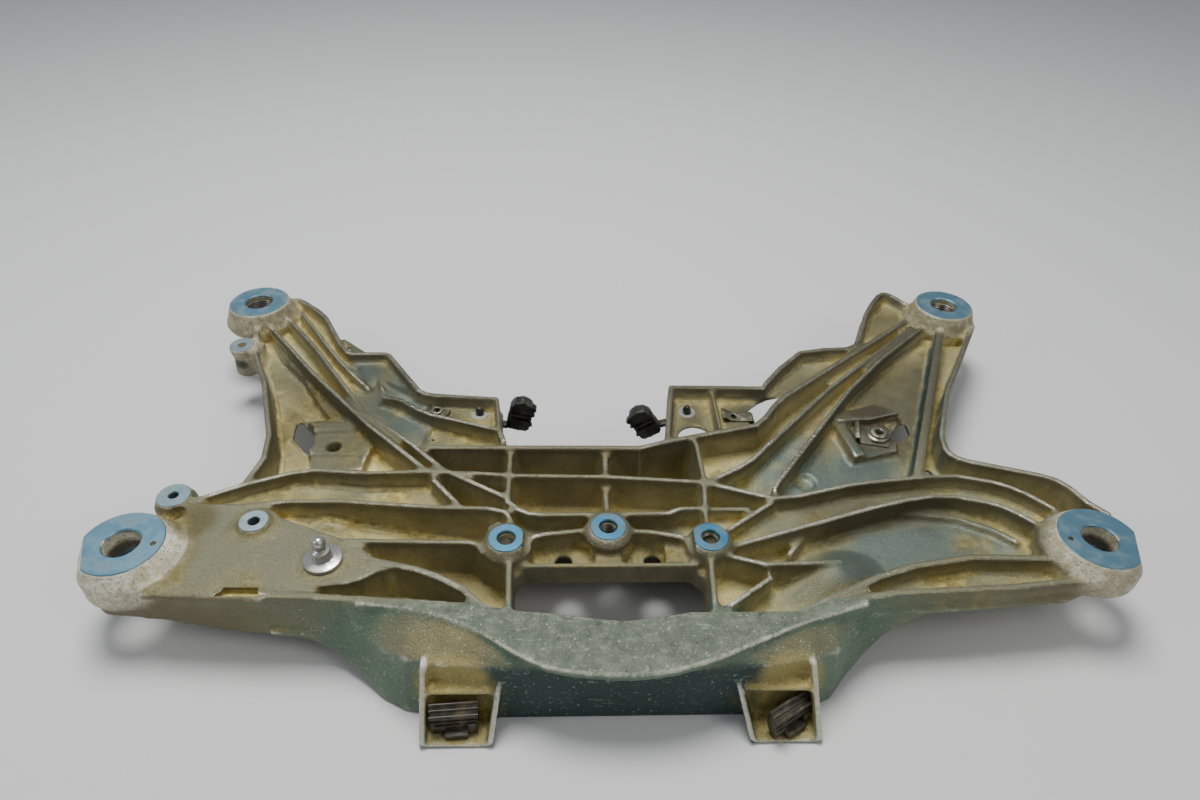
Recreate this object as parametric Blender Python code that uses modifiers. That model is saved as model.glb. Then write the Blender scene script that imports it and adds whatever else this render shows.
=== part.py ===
"""Die-cast aluminium carrier of an engine and axle, with the small pieces that are fitted to it.

The carrier lies with its open, ribbed side up, on its two front feet and its rear beam.
X runs along the front beam, Y to the rear and Z up. Places on the plan are drawn in mm, with
X = 0 midway between the corner bosses, Y = 0 through the two front ones and Z = 0 on the floor.
The finished object is moved forward by PLAN_CENTRE, so that its own middle is at the origin.
"""

import math

import bmesh
import bpy
from mathutils import Matrix, Vector

MM = 0.001

# Middle of the drawn plan, front edge of the feet to rear edge of the corner bosses
PLAN_CENTRE = 147.95

# Corner bosses
BOSS_SPACING = 840.0
BOSS_DEPTH = 380.0
FACE_HEIGHT = 90.0
FACE_RADIUS = 35.5
FRONT_SKIRT_RADIUS = 43.5
FRONT_SKIRT_SHIFT = 4.0
REAR_SKIRT_RADIUS = 42.0
SKIRT_DROP = 14.0
FRONT_BOSS_THICK = {"left": 40.0, "right": 33.0}
FRONT_BORE_DEPTH = 26.0
REAR_BOSS_THICK = 30.0
CORNER_BORE_RADIUS = 15.0
PIN_HOLE_RADIUS = 2.4
PIN_HOLE_OFFSET = 27.0
FLAT_SIDE_OFFSET = 29.5
FLAT_SIDE_ANGLE = 20.9

# Ribs, floors and rims of the casting
RIB_TOP = 78.0
RIB_THICK = 5.0
RIM_THICK = 6.0
FLOOR_THICK = 5.0
DRAFT = 0.012
FLOOR_OVERLAP = 1.6
ROOT_DEPTH = 3.0
CHORD_ERROR = 1.3
SHALLOW_FLOOR = 62.0
FLANGE_FOOT = 55.6
SHELF_FLOOR = 56.0
GRID_FLOOR = 36.0
PLATE_TOP = 76.5
PLATE_THICK = 7.0

# Bosses in the middle, for the engine side
CENTRE_FACE_HEIGHT = 84.0
CENTRE_FACE_RADIUS = 16.0
CENTRE_BORE_RADIUS = 7.3
CENTRE_BOSS_SPACING = 178.0
CENTRE_BOSS_X = -10.0
CENTRE_BOSS_Y = 21.5
SIDE_BOSS_Y = 9.0
SIDE_BOSS_FLAT = 14.4

# Small bosses
SMALL_BORE_RADIUS = 4.6
SMALL_BOSS_RADIUS = 15.0
PLATE_BOSS_RADIUS = 13.0

# Beam and feet
BEAM_THICK = 8.0
FOOT_WIDTH = 58.0
FOOT_FRONT = -136.0
FOOT_PLATE_THICK = 4.0
FOOT_RIB_THICK = 5.0
FOOT_HOLE_RADIUS = 7.0
FOOT_RECESS_RADIUS = 14.0
FOOT_RECESS_DEPTH = 1.0
WALL_THICK = 6.5

# Fitted pieces
GAP = 0.3
INSERT_WALL = 1.6
STUD_FLANGE_RADIUS = 16.5
STUD_FLANGE_THICK = 3.5
STUD_RADIUS = 8.0
STUD_HEIGHT = 27.0
STUD_SHANK_RADIUS = 5.0
PAD_HEIGHT = 1.5
CABLE_RING_RADIUS = 18.5
CABLE_RING_WALL = 3.0
CABLE_RING_WIDTH = 12.0
CLIP_PIN_RADIUS = 3.2
CLIP_ARM_REACH = 31.0
CLIP_LENGTH = 37.5
CLIP_HEIGHT = 26.7
NUT_RADIUS = 9.0
NUT_THICK = 6.0
NUT_SEAT_HEIGHT = 60.0
SHEET = 1.2

# The middle block keeps its size when the corner bosses move apart
MIDDLE_HALF_WIDTH = 210.0
MIDDLE_DEPTH = 140.0


def stretch(value, fixed, drawn, real):
    """Moves a drawn value past the fixed middle so that the drawn end meets the real end."""
    size = abs(value)
    if size <= fixed:
        return value
    return math.copysign(fixed + (size - fixed) * (real - fixed) / (drawn - fixed), value)


def spot(x, y):
    """Place on the plan, which is drawn for corner bosses 840 mm apart and 380 mm deep."""
    return (
        stretch(x, MIDDLE_HALF_WIDTH, 420.0, BOSS_SPACING / 2),
        stretch(y, MIDDLE_DEPTH, 380.0, BOSS_DEPTH) if y > 0 else y,
    )


def clear_scene():
    for item in list(bpy.data.objects):
        bpy.data.objects.remove(item)


def collection(name):
    made = bpy.data.collections.new(name)
    bpy.context.scene.collection.children.link(made)
    return made


def material(name, colour, roughness, metallic):
    made = bpy.data.materials.new(name)
    made.use_nodes = True
    shader = made.node_tree.nodes["Principled BSDF"]
    shader.inputs["Base Color"].default_value = (*colour, 1.0)
    shader.inputs["Roughness"].default_value = roughness
    shader.inputs["Metallic"].default_value = metallic
    made.diffuse_color = (*colour, 1.0)
    return made


clear_scene()
PRODUCT = collection("engine_carrier")
MEMBERS = collection("casting_members")
CUTS = collection("casting_cuts")
HELPERS = collection("small_part_tools")

CAST = material("cast_aluminium", (0.45, 0.42, 0.33), 0.55, 0.6)
STEEL = material("turned_steel", (0.72, 0.72, 0.70), 0.3, 1.0)
THREAD = material("insert_steel", (0.55, 0.55, 0.53), 0.35, 1.0)
ZINC = material("zinc_plated_sheet", (0.58, 0.57, 0.52), 0.4, 0.9)
BLACK = material("black_plastic", (0.02, 0.02, 0.02), 0.5, 0.0)
BROWN = material("dark_clip_plastic", (0.06, 0.05, 0.035), 0.55, 0.0)


def new_object(name, mesh, home, helper=False):
    made = bpy.data.objects.new(name, mesh)
    home.objects.link(made)
    if helper:
        made.hide_render = True
        made.display_type = "WIRE"
    return made


def close_mesh(shape, name):
    """Points every face outwards and turns the bmesh into a mesh in metres."""
    bmesh.ops.recalc_face_normals(shape, faces=shape.faces)
    bmesh.ops.triangulate(shape, faces=shape.faces)
    bmesh.ops.translate(shape, vec=(0.0, -PLAN_CENTRE, 0.0), verts=shape.verts)
    bmesh.ops.scale(shape, vec=(MM, MM, MM), verts=shape.verts)
    mesh = bpy.data.meshes.new(name)
    shape.to_mesh(mesh)
    shape.free()
    return mesh


def smooth_line(points, steps):
    """Catmull-Rom curve through the points, each of them a tuple of any length."""
    if steps < 2 or len(points) < 3:
        return [tuple(point) for point in points]
    ends = [points[0], *points, points[-1]]
    line = []
    for before, start, stop, after in zip(ends, ends[1:], ends[2:], ends[3:]):
        for step in range(steps):
            t = step / steps
            line.append(
                tuple(
                    0.5
                    * (
                        2 * b
                        + (c - a) * t
                        + (2 * a - 5 * b + 4 * c - d) * t * t
                        + (3 * b - a - 3 * c + d) * t**3
                    )
                    for a, b, c, d in zip(before, start, stop, after)
                )
            )
    return [*line, tuple(points[-1])]


def thin_out(line, error):
    """Leaves out points (x, y, foot, top) that lie close to the chord past them.

    A stray in height counts for a quarter of one on the plan.
    """
    if len(line) < 3:
        return line
    start = Vector(line[0][:2])
    along = Vector(line[-1][:2]) - start
    length = max(along.length, 1e-6)
    strays = []
    for point in line[1:-1]:
        way = Vector(point[:2]) - start
        share = way.dot(along) / length**2
        low = line[0][2] + share * (line[-1][2] - line[0][2])
        high = line[0][3] + share * (line[-1][3] - line[0][3])
        lift = max(abs(point[2] - low), abs(point[3] - high))
        strays.append(max(abs(along.cross(way)) / length, lift / 4))
    worst = max(range(len(strays)), key=strays.__getitem__) + 1
    if strays[worst - 1] < error:
        return [line[0], line[-1]]
    return thin_out(line[: worst + 1], error)[:-1] + thin_out(line[worst:], error)


def grown(outline, width):
    """Outline moved outwards by a width."""
    area = sum(a[0] * b[1] - b[0] * a[1] for a, b in zip(outline, [*outline[1:], outline[0]]))
    outwards = 1.0 if area > 0 else -1.0
    moved = []
    for before, place, after in zip([outline[-1], *outline], outline, [*outline[1:], outline[0]]):
        first = (Vector(place) - Vector(before)).normalized()
        second = (Vector(after) - Vector(place)).normalized()
        out = Vector((first.y + second.y, -first.x - second.x)) * outwards
        reach = width / max(1.0 + first.dot(second), 0.5)
        moved.append((place[0] + out.x * reach, place[1] + out.y * reach))
    return moved


def sideways(line, index):
    """Unit vector on the plan, square to the line at one of its points."""
    before = line[max(index - 1, 0)]
    after = line[min(index + 1, len(line) - 1)]
    along = Vector((after[0] - before[0], after[1] - before[1])).normalized()
    return Vector((-along.y, along.x))


def loft(name, rings, home=MEMBERS):
    """Closed solid through rings with the same number of corners."""
    shape = bmesh.new()
    rows = [[shape.verts.new(corner) for corner in ring] for ring in rings]
    count = len(rows[0])
    for near, far in zip(rows, rows[1:]):
        for corner in range(count):
            after = (corner + 1) % count
            shape.faces.new((near[corner], near[after], far[after], far[corner]))
    shape.faces.new(rows[0])
    shape.faces.new(reversed(rows[-1]))
    return new_object(name, close_mesh(shape, name), home, helper=True)


def rib(name, points, foot, top=RIB_TOP, thick=RIB_THICK, steps=3, sunk=ROOT_DEPTH):
    """Upright web along a line on the plan. A point is (x, y), (x, y, foot) or (x, y, foot, top).

    The feet go into the floors by the sunk depth. Rims, whose feet are seen, are not sunk.
    """
    full = []
    for point in points:
        x, y = spot(point[0], point[1])
        low = point[2] if len(point) > 2 else foot
        high = point[3] if len(point) > 3 else top
        full.append((x, y, low, high))
    line = thin_out(smooth_line(full, steps), CHORD_ERROR)
    rings = []
    for index, (x, y, low, high) in enumerate(line):
        low = max(low - sunk, 0.0)
        side = sideways(line, index)
        crest = side * (thick / 2)
        root = side * (thick / 2 + DRAFT * (high - low))
        rings.append(
            (
                (x + crest.x, y + crest.y, high),
                (x - crest.x, y - crest.y, high),
                (x - root.x, y - root.y, low),
                (x + root.x, y + root.y, low),
            )
        )
    return loft(name, rings)


def floor_web(name, outline, level, slope=(0.0, 0.0), about=(0.0, 0.0), thick=FLOOR_THICK):
    """Flat or tilted web. Level is its top at the place it is drawn about, slope its rise per mm."""
    curve = bpy.data.curves.new(name, "CURVE")
    curve.dimensions = "2D"
    curve.fill_mode = "BOTH"
    curve.extrude = thick / 2
    spline = curve.splines.new("POLY")
    spline.points.add(len(outline) - 1)
    for point, place in zip(spline.points, grown(outline, FLOOR_OVERLAP)):
        point.co = (*spot(*place), 0.0, 1.0)
    spline.use_cyclic_u = True
    drawn = bpy.data.objects.new(name, curve)
    HELPERS.objects.link(drawn)
    graph = bpy.context.evaluated_depsgraph_get()
    mesh = bpy.data.meshes.new_from_object(drawn.evaluated_get(graph))
    bpy.data.objects.remove(drawn)
    shape = bmesh.new()
    shape.from_mesh(mesh)
    bpy.data.meshes.remove(mesh)
    bmesh.ops.remove_doubles(shape, verts=shape.verts, dist=0.01)
    for vert in shape.verts:
        rise = slope[0] * (vert.co.x - about[0]) + slope[1] * (vert.co.y - about[1])
        vert.co.z += level - thick / 2 + rise
    return new_object(name, close_mesh(shape, name), MEMBERS, helper=True)


def turned(name, profile, place, home=MEMBERS, sides=40, helper=True):
    """Solid of revolution about Z. The profile is (radius, height) pairs, top to bottom."""
    shape = bmesh.new()
    line = [shape.verts.new((radius * MM, 0.0, height * MM)) for radius, height in profile]
    for start, stop in zip(line, line[1:]):
        shape.edges.new((start, stop))
    mesh = bpy.data.meshes.new(name)
    shape.to_mesh(mesh)
    shape.free()
    made = new_object(name, mesh, home, helper)
    made.location = (place[0] * MM, (place[1] - PLAN_CENTRE) * MM, 0.0)
    screw = made.modifiers.new("turn", "SCREW")
    screw.steps = screw.render_steps = sides
    screw.use_merge_vertices = True
    screw.merge_threshold = 0.00001
    screw.use_smooth_shade = False
    return made


def cylinder(name, place, radius, low, high, home=CUTS, sides=26):
    """Upright cylinder between two heights."""
    shape = bmesh.new()
    bmesh.ops.create_cone(
        shape,
        cap_ends=True,
        segments=sides,
        radius1=radius,
        radius2=radius,
        depth=high - low,
        matrix=Matrix.Translation((place[0], place[1], (low + high) / 2)),
    )
    return new_object(name, close_mesh(shape, name), home, helper=True)


def box(name, low, high, home=CUTS, turn=0.0, about=None):
    """Box between two corners, turned about an upright axis if wanted."""
    size = [b - a for a, b in zip(low, high)]
    middle = [(a + b) / 2 for a, b in zip(low, high)]
    shape = bmesh.new()
    bmesh.ops.create_cube(shape, size=1.0)
    bmesh.ops.scale(shape, vec=size, verts=shape.verts)
    bmesh.ops.translate(shape, vec=middle, verts=shape.verts)
    if turn:
        pivot = Vector((*(about or middle[:2]), 0.0))
        bmesh.ops.rotate(
            shape, cent=pivot, matrix=Matrix.Rotation(turn, 3, "Z"), verts=shape.verts
        )
    return new_object(name, close_mesh(shape, name), home, helper=True)


def join_all(target, members, operation="UNION"):
    """Boolean of the target with every object of a collection."""
    step = target.modifiers.new(operation.lower(), "BOOLEAN")
    step.operation = operation
    step.solver = "EXACT"
    step.operand_type = "COLLECTION"
    step.collection = members
    return step


def settle(target, angle):
    """Applies the modifiers and merges the flat faces that they leave in pieces."""
    graph = bpy.context.evaluated_depsgraph_get()
    mesh = bpy.data.meshes.new_from_object(target.evaluated_get(graph))
    target.modifiers.clear()
    shape = bmesh.new()
    shape.from_mesh(mesh)
    bpy.data.meshes.remove(mesh)
    bmesh.ops.remove_doubles(shape, verts=shape.verts, dist=0.02 * MM)
    bmesh.ops.dissolve_limit(
        shape, angle_limit=math.radians(angle), verts=shape.verts, edges=shape.edges
    )
    bmesh.ops.triangulate(shape, faces=shape.faces)
    # Two faces back to back on the same corners are a film without thickness.
    backs = {}
    for face in shape.faces:
        backs.setdefault(frozenset(vert.index for vert in face.verts), []).append(face)
    films = [face for pair in backs.values() if len(pair) > 1 for face in pair]
    bmesh.ops.delete(shape, geom=films, context="FACES")
    loose = [vert for vert in shape.verts if not vert.link_faces]
    bmesh.ops.delete(shape, geom=loose, context="VERTS")
    shape.to_mesh(target.data)
    shape.free()


HALF_SPACING = BOSS_SPACING / 2
FRONT_BOSSES = {"left": (-HALF_SPACING, 0.0), "right": (HALF_SPACING, 0.0)}
REAR_BOSSES = {"left": (-HALF_SPACING, BOSS_DEPTH), "right": (HALF_SPACING, BOSS_DEPTH)}
MIDDLE_BOSS = (CENTRE_BOSS_X, CENTRE_BOSS_Y)
SIDE_BOSSES = {
    "left": (CENTRE_BOSS_X - CENTRE_BOSS_SPACING / 2, SIDE_BOSS_Y),
    "right": (CENTRE_BOSS_X + CENTRE_BOSS_SPACING / 2, SIDE_BOSS_Y),
}
END_BOSS = spot(-406, 67)
EAR_BOSS = spot(-420, 306)
PLATE_BOSS = spot(-321, 30)
STUD_PLACE = spot(-252, -10)
LEFT_CLIP_HOLE = spot(-140.6, 202.5)
RIGHT_CLIP_HOLE = spot(81.5, 205)
BRACKET_NUT = spot(279.3, 166)
REAR_RIGHT_NUT = spot(131, 196)
REAR_LEFT_NUT = spot(-186, 203)
LEFT_FOOT_HOLE = (-132.5, -121.5)
RIGHT_FOOT_HOLE = (135.5, -121.5)


# The front beam: a thick saddle with a lip curved forward, over a set-back front wall.
LIP = [
    (-215, -54), (-180, -58), (-143, -68), (-112, -83), (-88, -99), (-61, -113),
    (-30, -119), (5, -121), (38, -117), (73, -106), (110, -90), (149, -74), (200, -58),
]
SADDLE_REAR = [
    (200, -50), (138, -66), (55, -66), (32, -70), (3, -74), (-20, -72), (-48, -67),
    (-90, -63), (-120, -56), (-180, -50), (-215, -48),
]


def front_beam():
    floor_web(
        "beam_saddle", smooth_line(LIP, 2) + SADDLE_REAR, RIB_TOP, thick=BEAM_THICK
    )
    # Front wall stations: top x, y; shoulder y, height; bottom x, y, height. The wall is also the
    # skirt of both front arms. Where it has no shoulder, that point lies on the straight slope.
    stations = [
        (-447, -31, -30, 65, -445, -29, 52), (-437, -36, -35.5, 58, -435, -35, 38),
        (-387, -38, -37.5, 55, -387, -37, 33), (-331, -44, -44, 53, -336, -44, 28),
        (-289, -48, -48, 52, -297, -48, 27), (-253, -49, -51, 50, -262, -53, 25),
        (-228, -51, -57, 50, -236, -63, 18), (-208, -52, -68, 50, -214, -79, 9),
        (-190, -55, -81, 52, -197, -94, 0), (-170, -59, -92, 56, -178, -104, 0),
        (-143, -65, -101, 61, -148, -110, 0), (-112, -79, -104, 62, -112, -111, 0),
        (-88, -91, -107, 62, -88, -111, 0), (-61, -101, -109, 62, -61, -111, 0),
        (5, -109, -110, 62, 5, -111, 0), (73, -97, -108, 62, 73, -111, 0),
        (110, -84, -105, 62, 112, -111, 0), (149, -69, -98, 60, 150, -108, 0),
        (170, -62, -89, 56, 174, -98, 0), (190, -57, -74, 50, 190, -81, 6),
        (207, -53, -62, 48, 207, -68, 18), (227, -50, -54, 48, 226, -56, 30),
        (252, -49, -50, 60, 248, -52, 45), (279, -48, -48.5, 66, 274, -49, 56),
        (331, -45, -45.5, 69, 326, -46, 61.5), (381, -39, -39, 69, 381, -39, 61),
        (425, -41, -40.5, 69, 424, -40, 61), (447, -31, -30.5, 69, 445, -30, 61),
    ]
    rings = []
    tops = [(*spot(x, y), 0.0) for x, y, *_ in stations]
    for index, (top, station) in enumerate(zip(tops, stations)):
        _, _, middle_y, middle_z, low_x, low_y, low_z = station
        inward = sideways(tops, index) * WALL_THICK
        foot = spot(low_x, low_y)
        middle_x = (top[0] + foot[0]) / 2
        rings.append(
            (
                (top[0], top[1], RIB_TOP - 0.4),
                (top[0] + inward.x, top[1] + inward.y, RIB_TOP - 0.4),
                (middle_x + inward.x, middle_y + inward.y, middle_z - 1.5),
                (foot[0] + inward.x, foot[1] + inward.y, low_z),
                (foot[0], foot[1], low_z),
                (middle_x, middle_y, middle_z),
            )
        )
    loft("front_wall", rings)
    # The beam's rear web, under the saddle's rear edge.
    rib("beam_rear_web", [(-120, -60, 30), (-90, -66, 30), (-48, -71, 30), (3, -77, 30),
        (32, -74, 30), (55, -70, 30), (138, -70, 30), (165, -66, 30)], 30, top=RIB_TOP - 1, steps=2)


def foot(name, left, right, lean_left, lean_right):
    """Open tray at the end of the beam: two raked side ribs and a bottom plate with a clip hole."""
    box(name + "_plate", (left, FOOT_FRONT, 0.0), (right, -104.0, FOOT_PLATE_THICK), home=MEMBERS)
    side = [(-93, 63), (-102, 61), (FOOT_FRONT, 6.5), (FOOT_FRONT, 0), (-105, 0)]
    for tag, edge, lean in (("left", left, lean_left), ("right", right, lean_right)):
        rings = []
        inward = 1 if tag == "left" else -1
        for reach in (0.0, FOOT_RIB_THICK * inward):
            rings.append([(edge + reach + lean * z / 63, y, z) for y, z in side])
        loft(f"{name}_{tag}_rib", rings)


def feet():
    foot("left_foot", -162.5, -162.5 + FOOT_WIDTH, 2.5, 11.0)
    foot("right_foot", 101.0, 101.0 + FOOT_WIDTH, -19.0, -8.0)
    # Steps across the back of the trays.
    box("left_foot_step", (-159.5, -112.5, 37), (-104, -105, 40.5), home=MEMBERS)
    box("right_foot_step", (93, -112.5, 37), (150, -103, 40.5), home=MEMBERS)


def rear_beam():
    beam = [
        (-200, 137), (-166, 103), (-141, 97), (-96, 93), (-9, 91), (77, 84), (84, 86),
        (83, 148), (58, 143), (26, 131), (-103, 133), (-185, 134),
    ]
    floor_web("rear_beam_floor", beam, 6.0, thick=6.0)
    front_row = [
        (-139, 97), (-101, 62), (-81, 44), (46, 43), (57, 48), (81, 49), (84, 86), (77, 84),
        (-9, 91), (-96, 93),
    ]
    floor_web("grid_floor_front", front_row, GRID_FLOOR)
    side_cell = [(84, 84), (83, 148), (113, 156), (150, 167), (146, 124), (121, 104)]
    floor_web("grid_floor_side", side_cell, GRID_FLOOR + 8.0)
    below_cell = [(81, 49), (84, 86), (134, 67), (147, 62), (84, 39)]
    floor_web("grid_floor_corner", below_cell, GRID_FLOOR + 4.0)
    rib("beam_rear_rim", [(-186, 133), (-103, 133), (-8, 133), (26, 132), (58, 143),
        (83, 149), (113, 156, 16), (150, 167, 30)], 0, thick=RIM_THICK, sunk=0)
    rib("grid_row_two", [(-141, 97), (-96, 93), (-9, 91), (77, 84), (87, 82), (134, 66, 33)], 0)
    rib("grid_row_three", [(-103, 61), (-81, 44), (-34, 43), (11, 43), (46, 44), (57, 49),
        (82, 50)], 34)
    rib("grid_row_four", [(-98, 8), (-76, 17), (-35, 23), (14, 23), (57, 15), (78, 8)], 51)
    rib("grid_column_one", [(-103, 133, 0, 73), (-103, 120), (-102, 91), (-101, 61.5, 33)], 0,
        steps=1)
    rib("grid_column_two_rear", [(-9, 133, 0, 70.5), (-9.5, 118, 0, 75), (-10, 91)], 0, steps=1)
    rib("grid_column_two", [(-10, 91, 34, 63), (-10, 76, 34, 70), (-10, 40)], 34, steps=1)
    rib("grid_column_three", [(80, 148, 0), (83, 136, 0), (84, 87, 0), (80, 44, 34), (79, 10, 40)],
        0)
    rib("grid_stub", [(83, 51), (122, 51)], 45, top=RIB_TOP - 3)
    # The shelf with its low wall toward the window.
    shelf = [(-102, 60), (-81, 45), (84, 46), (80, -4), (62, -9), (-82, -9), (-101, -4)]
    floor_web("shelf_floor", shelf, SHELF_FLOOR)
    rib("window_rear_wall", [(-100, -3), (-86, -10), (66, -10), (81, -3)], 50.3, top=70.2,
        steps=1)
    box("shelf_step", (40, -9, SHELF_FLOOR - 2), (55, 18, SHELF_FLOOR + 10), home=MEMBERS)
    # The window's rear corners are cut at 45 degrees.
    for side, x, turn in (("left", -90, 45), ("right", 70, -45)):
        box(f"window_{side}_corner", (x - 9, -17, 44), (x + 9, -7, 64), home=MEMBERS,
            turn=math.radians(turn))
    rib("window_left_wall", [(-96, -2, 40), (-94, -30, 36), (-93, -66, 30)], 36, thick=5.5)
    rib("window_right_wall", [(78, -2, 40), (76, -30, 36), (74, -72, 30)], 36, thick=5.5)


def left_front_arm():
    rib("mid_rib_left", [(-402, 56, 60), (-343, 54, 53), (-299, 60, 50), (-230, 59, 45),
        (-164, 52, 34), (-102, 46, 24), (-98, 5, 24)], 45)
    rib("second_rib_left", [(-241, 13, 50), (-181, 11, 42), (-130, 10, 34.5), (-119, 0, 33.2),
        (-96, -10, 32)], 45)
    rib("plate_tip_rib", [(-212, -9, 30), (-190, -15, 28), (-164, -22, 25), (-130, -41, 22),
        (-115, -58, 22)], 30, thick=6.5)
    rib("arm_rear_rim", [(-398, 62, 60), (-382, 64, 56), (-365, 73, 48), (-347, 82, 30),
        (-320, 93, 30), (-287, 101, 30), (-238, 97, 30), (-176, 99, 24), (-139, 96, 6)], 30)
    rib("arm_stub_rib", [(-175, 98, 33, 71), (-173, 88, 33), (-145, 54, 33)], 33, steps=1)
    rear = [
        (-404, 48), (-396, 64), (-347, 82), (-320, 94), (-287, 102), (-238, 97), (-176, 99),
        (-173, 88), (-146, 53), (-164, 52), (-230, 59), (-299, 60), (-343, 54),
    ]
    floor_web("arm_floor_rear", rear, 60.0, slope=(-0.03, 0.0), about=(-300, 0))
    corner = [(-176, 99), (-139, 96), (-101, 62), (-102, 47), (-146, 53), (-173, 88)]
    floor_web("arm_floor_corner", corner, 34.0)
    middle = [
        (-388, 50), (-343, 54), (-299, 60), (-230, 59), (-164, 52), (-102, 48), (-96, 4),
        (-96, -10), (-130, 8), (-181, 11), (-239, 13), (-283, 30), (-316, 45), (-342, 47),
    ]
    floor_web("arm_floor_middle", middle, 58.0, slope=(-0.13, 0.0), about=(-300, 0))
    front = [
        (-239, 13), (-130, 10), (-96, -10), (-95, -60), (-117, -58), (-130, -41), (-164, -22),
        (-212, -9),
    ]
    floor_web("arm_floor_front", front, 44.0, slope=(-0.13, 0.0), about=(-200, 0))
    pocket = [
        (-292, -34), (-229, -30), (-205, -18), (-163, -20), (-124, -46), (-114, -62),
        (-180, -62), (-218, -56), (-253, -54), (-292, -52),
    ]
    floor_web("long_pocket_floor", pocket, 38.0)
    rib("long_pocket_wall", [(-293, -49, 33), (-288, -38, 33), (-229, -31, 33), (-206, -19, 33),
        (-190, -15, 28)], 33, top=PLATE_TOP, thick=4.5)
    plate = [
        (-398, 30), (-386, 48), (-343, 49), (-316, 46), (-283, 31), (-240, 14), (-216, -2),
        (-206, -14), (-212, -23), (-231, -32), (-286, -37), (-294, -48), (-392, -42), (-398, 0),
    ]
    floor_web("stud_plate", plate, PLATE_TOP, thick=PLATE_THICK)
    rib("plate_rear_edge", [(-390, 48, 60), (-343, 49, 54), (-316, 45, 52), (-283, 30, 50),
        (-240, 13, 48), (-214, -4, 44)], 50, top=PLATE_TOP - 0.3, thick=4.0)
    box("plate_notch", (-333, -43.3, 66), (-299, -36.5, 90))
    floor_web("notch_floor", [(-340, -30), (-290, -30), (-290, -44.5), (-340, -43)], 67.0,
              thick=4.0)
    rib("plate_front_edge", [(-345, -34, 61.5), (-333, -34, 61.5), (-299, -34.5, 61.5),
        (-287, -35, 61.5)], 61.5, top=PLATE_TOP - 0.2, thick=3.0)


def left_rear_arm():
    rib("rear_left_outer_rim", [(-414, 340, 58), (-404, 300, 55), (-392, 270, 50),
        (-376, 240, 46), (-358, 190, 42), (-345, 152, 38), (-340, 118, 36), (-347, 84, 34)], 45,
        thick=RIM_THICK, sunk=0)
    rib("rear_left_rib_a", [(-398, 344, 58), (-328, 256, 45), (-265, 184, 34), (-223, 141, 24),
        (-184, 103, 12), (-165, 98, 6)], 45)
    rib("rear_left_rib_b", [(-382, 362, 58), (-337, 304, 50), (-267, 200, 30), (-243, 173, 24),
        (-201, 138, 8), (-166, 102, 4), (-133, 82, 0), (-104, 65, 0)], 40)
    rib("rear_left_rib_c", [(-372, 378, 58), (-322, 304, FLANGE_FOOT, 77),
        (-287, 260, FLANGE_FOOT, 74), (-264, 238, FLANGE_FOOT, 68)], FLANGE_FOOT, thick=4.5)
    rib("rear_left_flange_rim", [(-392, 404, 58), (-378, 404), (-340, 367), (-319, 328),
        (-305, 303), (-291, 291), (-256, 291), (-243, 279), (-219, 240), (-199, 218),
        (-162, 214), (-126, 210), (-121, 204), (-116, 159, 56), (-110, 140, 50)],
        FLANGE_FOOT, thick=RIM_THICK, sunk=0)
    outer = [
        (-414, 338), (-405, 350), (-398, 344), (-328, 256), (-265, 184), (-223, 141),
        (-184, 104), (-166, 103), (-176, 99), (-238, 97), (-287, 102), (-320, 94), (-347, 82), (-340, 118), (-345, 152),
        (-358, 190), (-376, 240), (-392, 270), (-404, 300),
    ]
    floor_web("rear_left_floor_outer", outer, 46.0, slope=(0.0, 0.07), about=(0, 200))
    between = [
        (-398, 344), (-382, 362), (-337, 304), (-267, 200), (-243, 173), (-201, 138),
        (-166, 102), (-186, 105), (-223, 141), (-265, 184), (-328, 256),
    ]
    floor_web("rear_left_floor_middle", between, 36.0, slope=(0.0, 0.15), about=(0, 200))
    flange = [
        (-382, 362), (-392, 400), (-378, 404), (-340, 367), (-319, 328), (-305, 303),
        (-291, 291), (-256, 291), (-243, 279), (-219, 240), (-199, 216), (-162, 212),
        (-122, 208), (-117, 202), (-115, 160), (-119, 160), (-190, 184), (-194, 165),
        (-201, 138), (-243, 173), (-267, 200), (-337, 304),
    ]
    floor_web("rear_left_flange", flange, SHALLOW_FLOOR)
    pad = [(-303, 300), (-256, 296), (-258, 262), (-270, 250), (-300, 283)]
    floor_web("rear_left_flange_pad", pad, SHALLOW_FLOOR + 3.0, thick=6.0)
    low_floor = [
        (-191, 182), (-119, 160), (-114, 159), (-107, 137), (-184, 137), (-200, 138), (-194, 164),
    ]
    floor_web("flange_low_floor", low_floor, SHALLOW_FLOOR - 4.6)
    rib("flange_diagonal_rib", [(-246, 218, FLANGE_FOOT, 74), (-224, 208), (-190, 184),
        (-119, 160)], FLANGE_FOOT, thick=4.5)
    rib("flange_inner_step", [(-205, 141, 30, 62), (-183, 136, 10, 62), (-108, 136, 10, 62)], 10,
        thick=4.0)
    # The bracket seat: a raised pad with a through hole and a step in front.
    seat = [(-330, 196), (-262, 200), (-250, 150), (-254, 128), (-302, 126), (-306, 146)]
    floor_web("bracket_seat", seat, 56.5, thick=16.0)
    lip = [(-318, 188), (-262, 192), (-259, 181), (-315, 177)]
    floor_web("bracket_seat_lip", lip, 60.5, thick=12.0)
    step = [(-310, 143), (-257, 143), (-248, 120), (-304, 120)]
    shallow = floor_web("bracket_seat_step", step, 70.0, thick=17.0)
    MEMBERS.objects.unlink(shallow)
    CUTS.objects.link(shallow)


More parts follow.
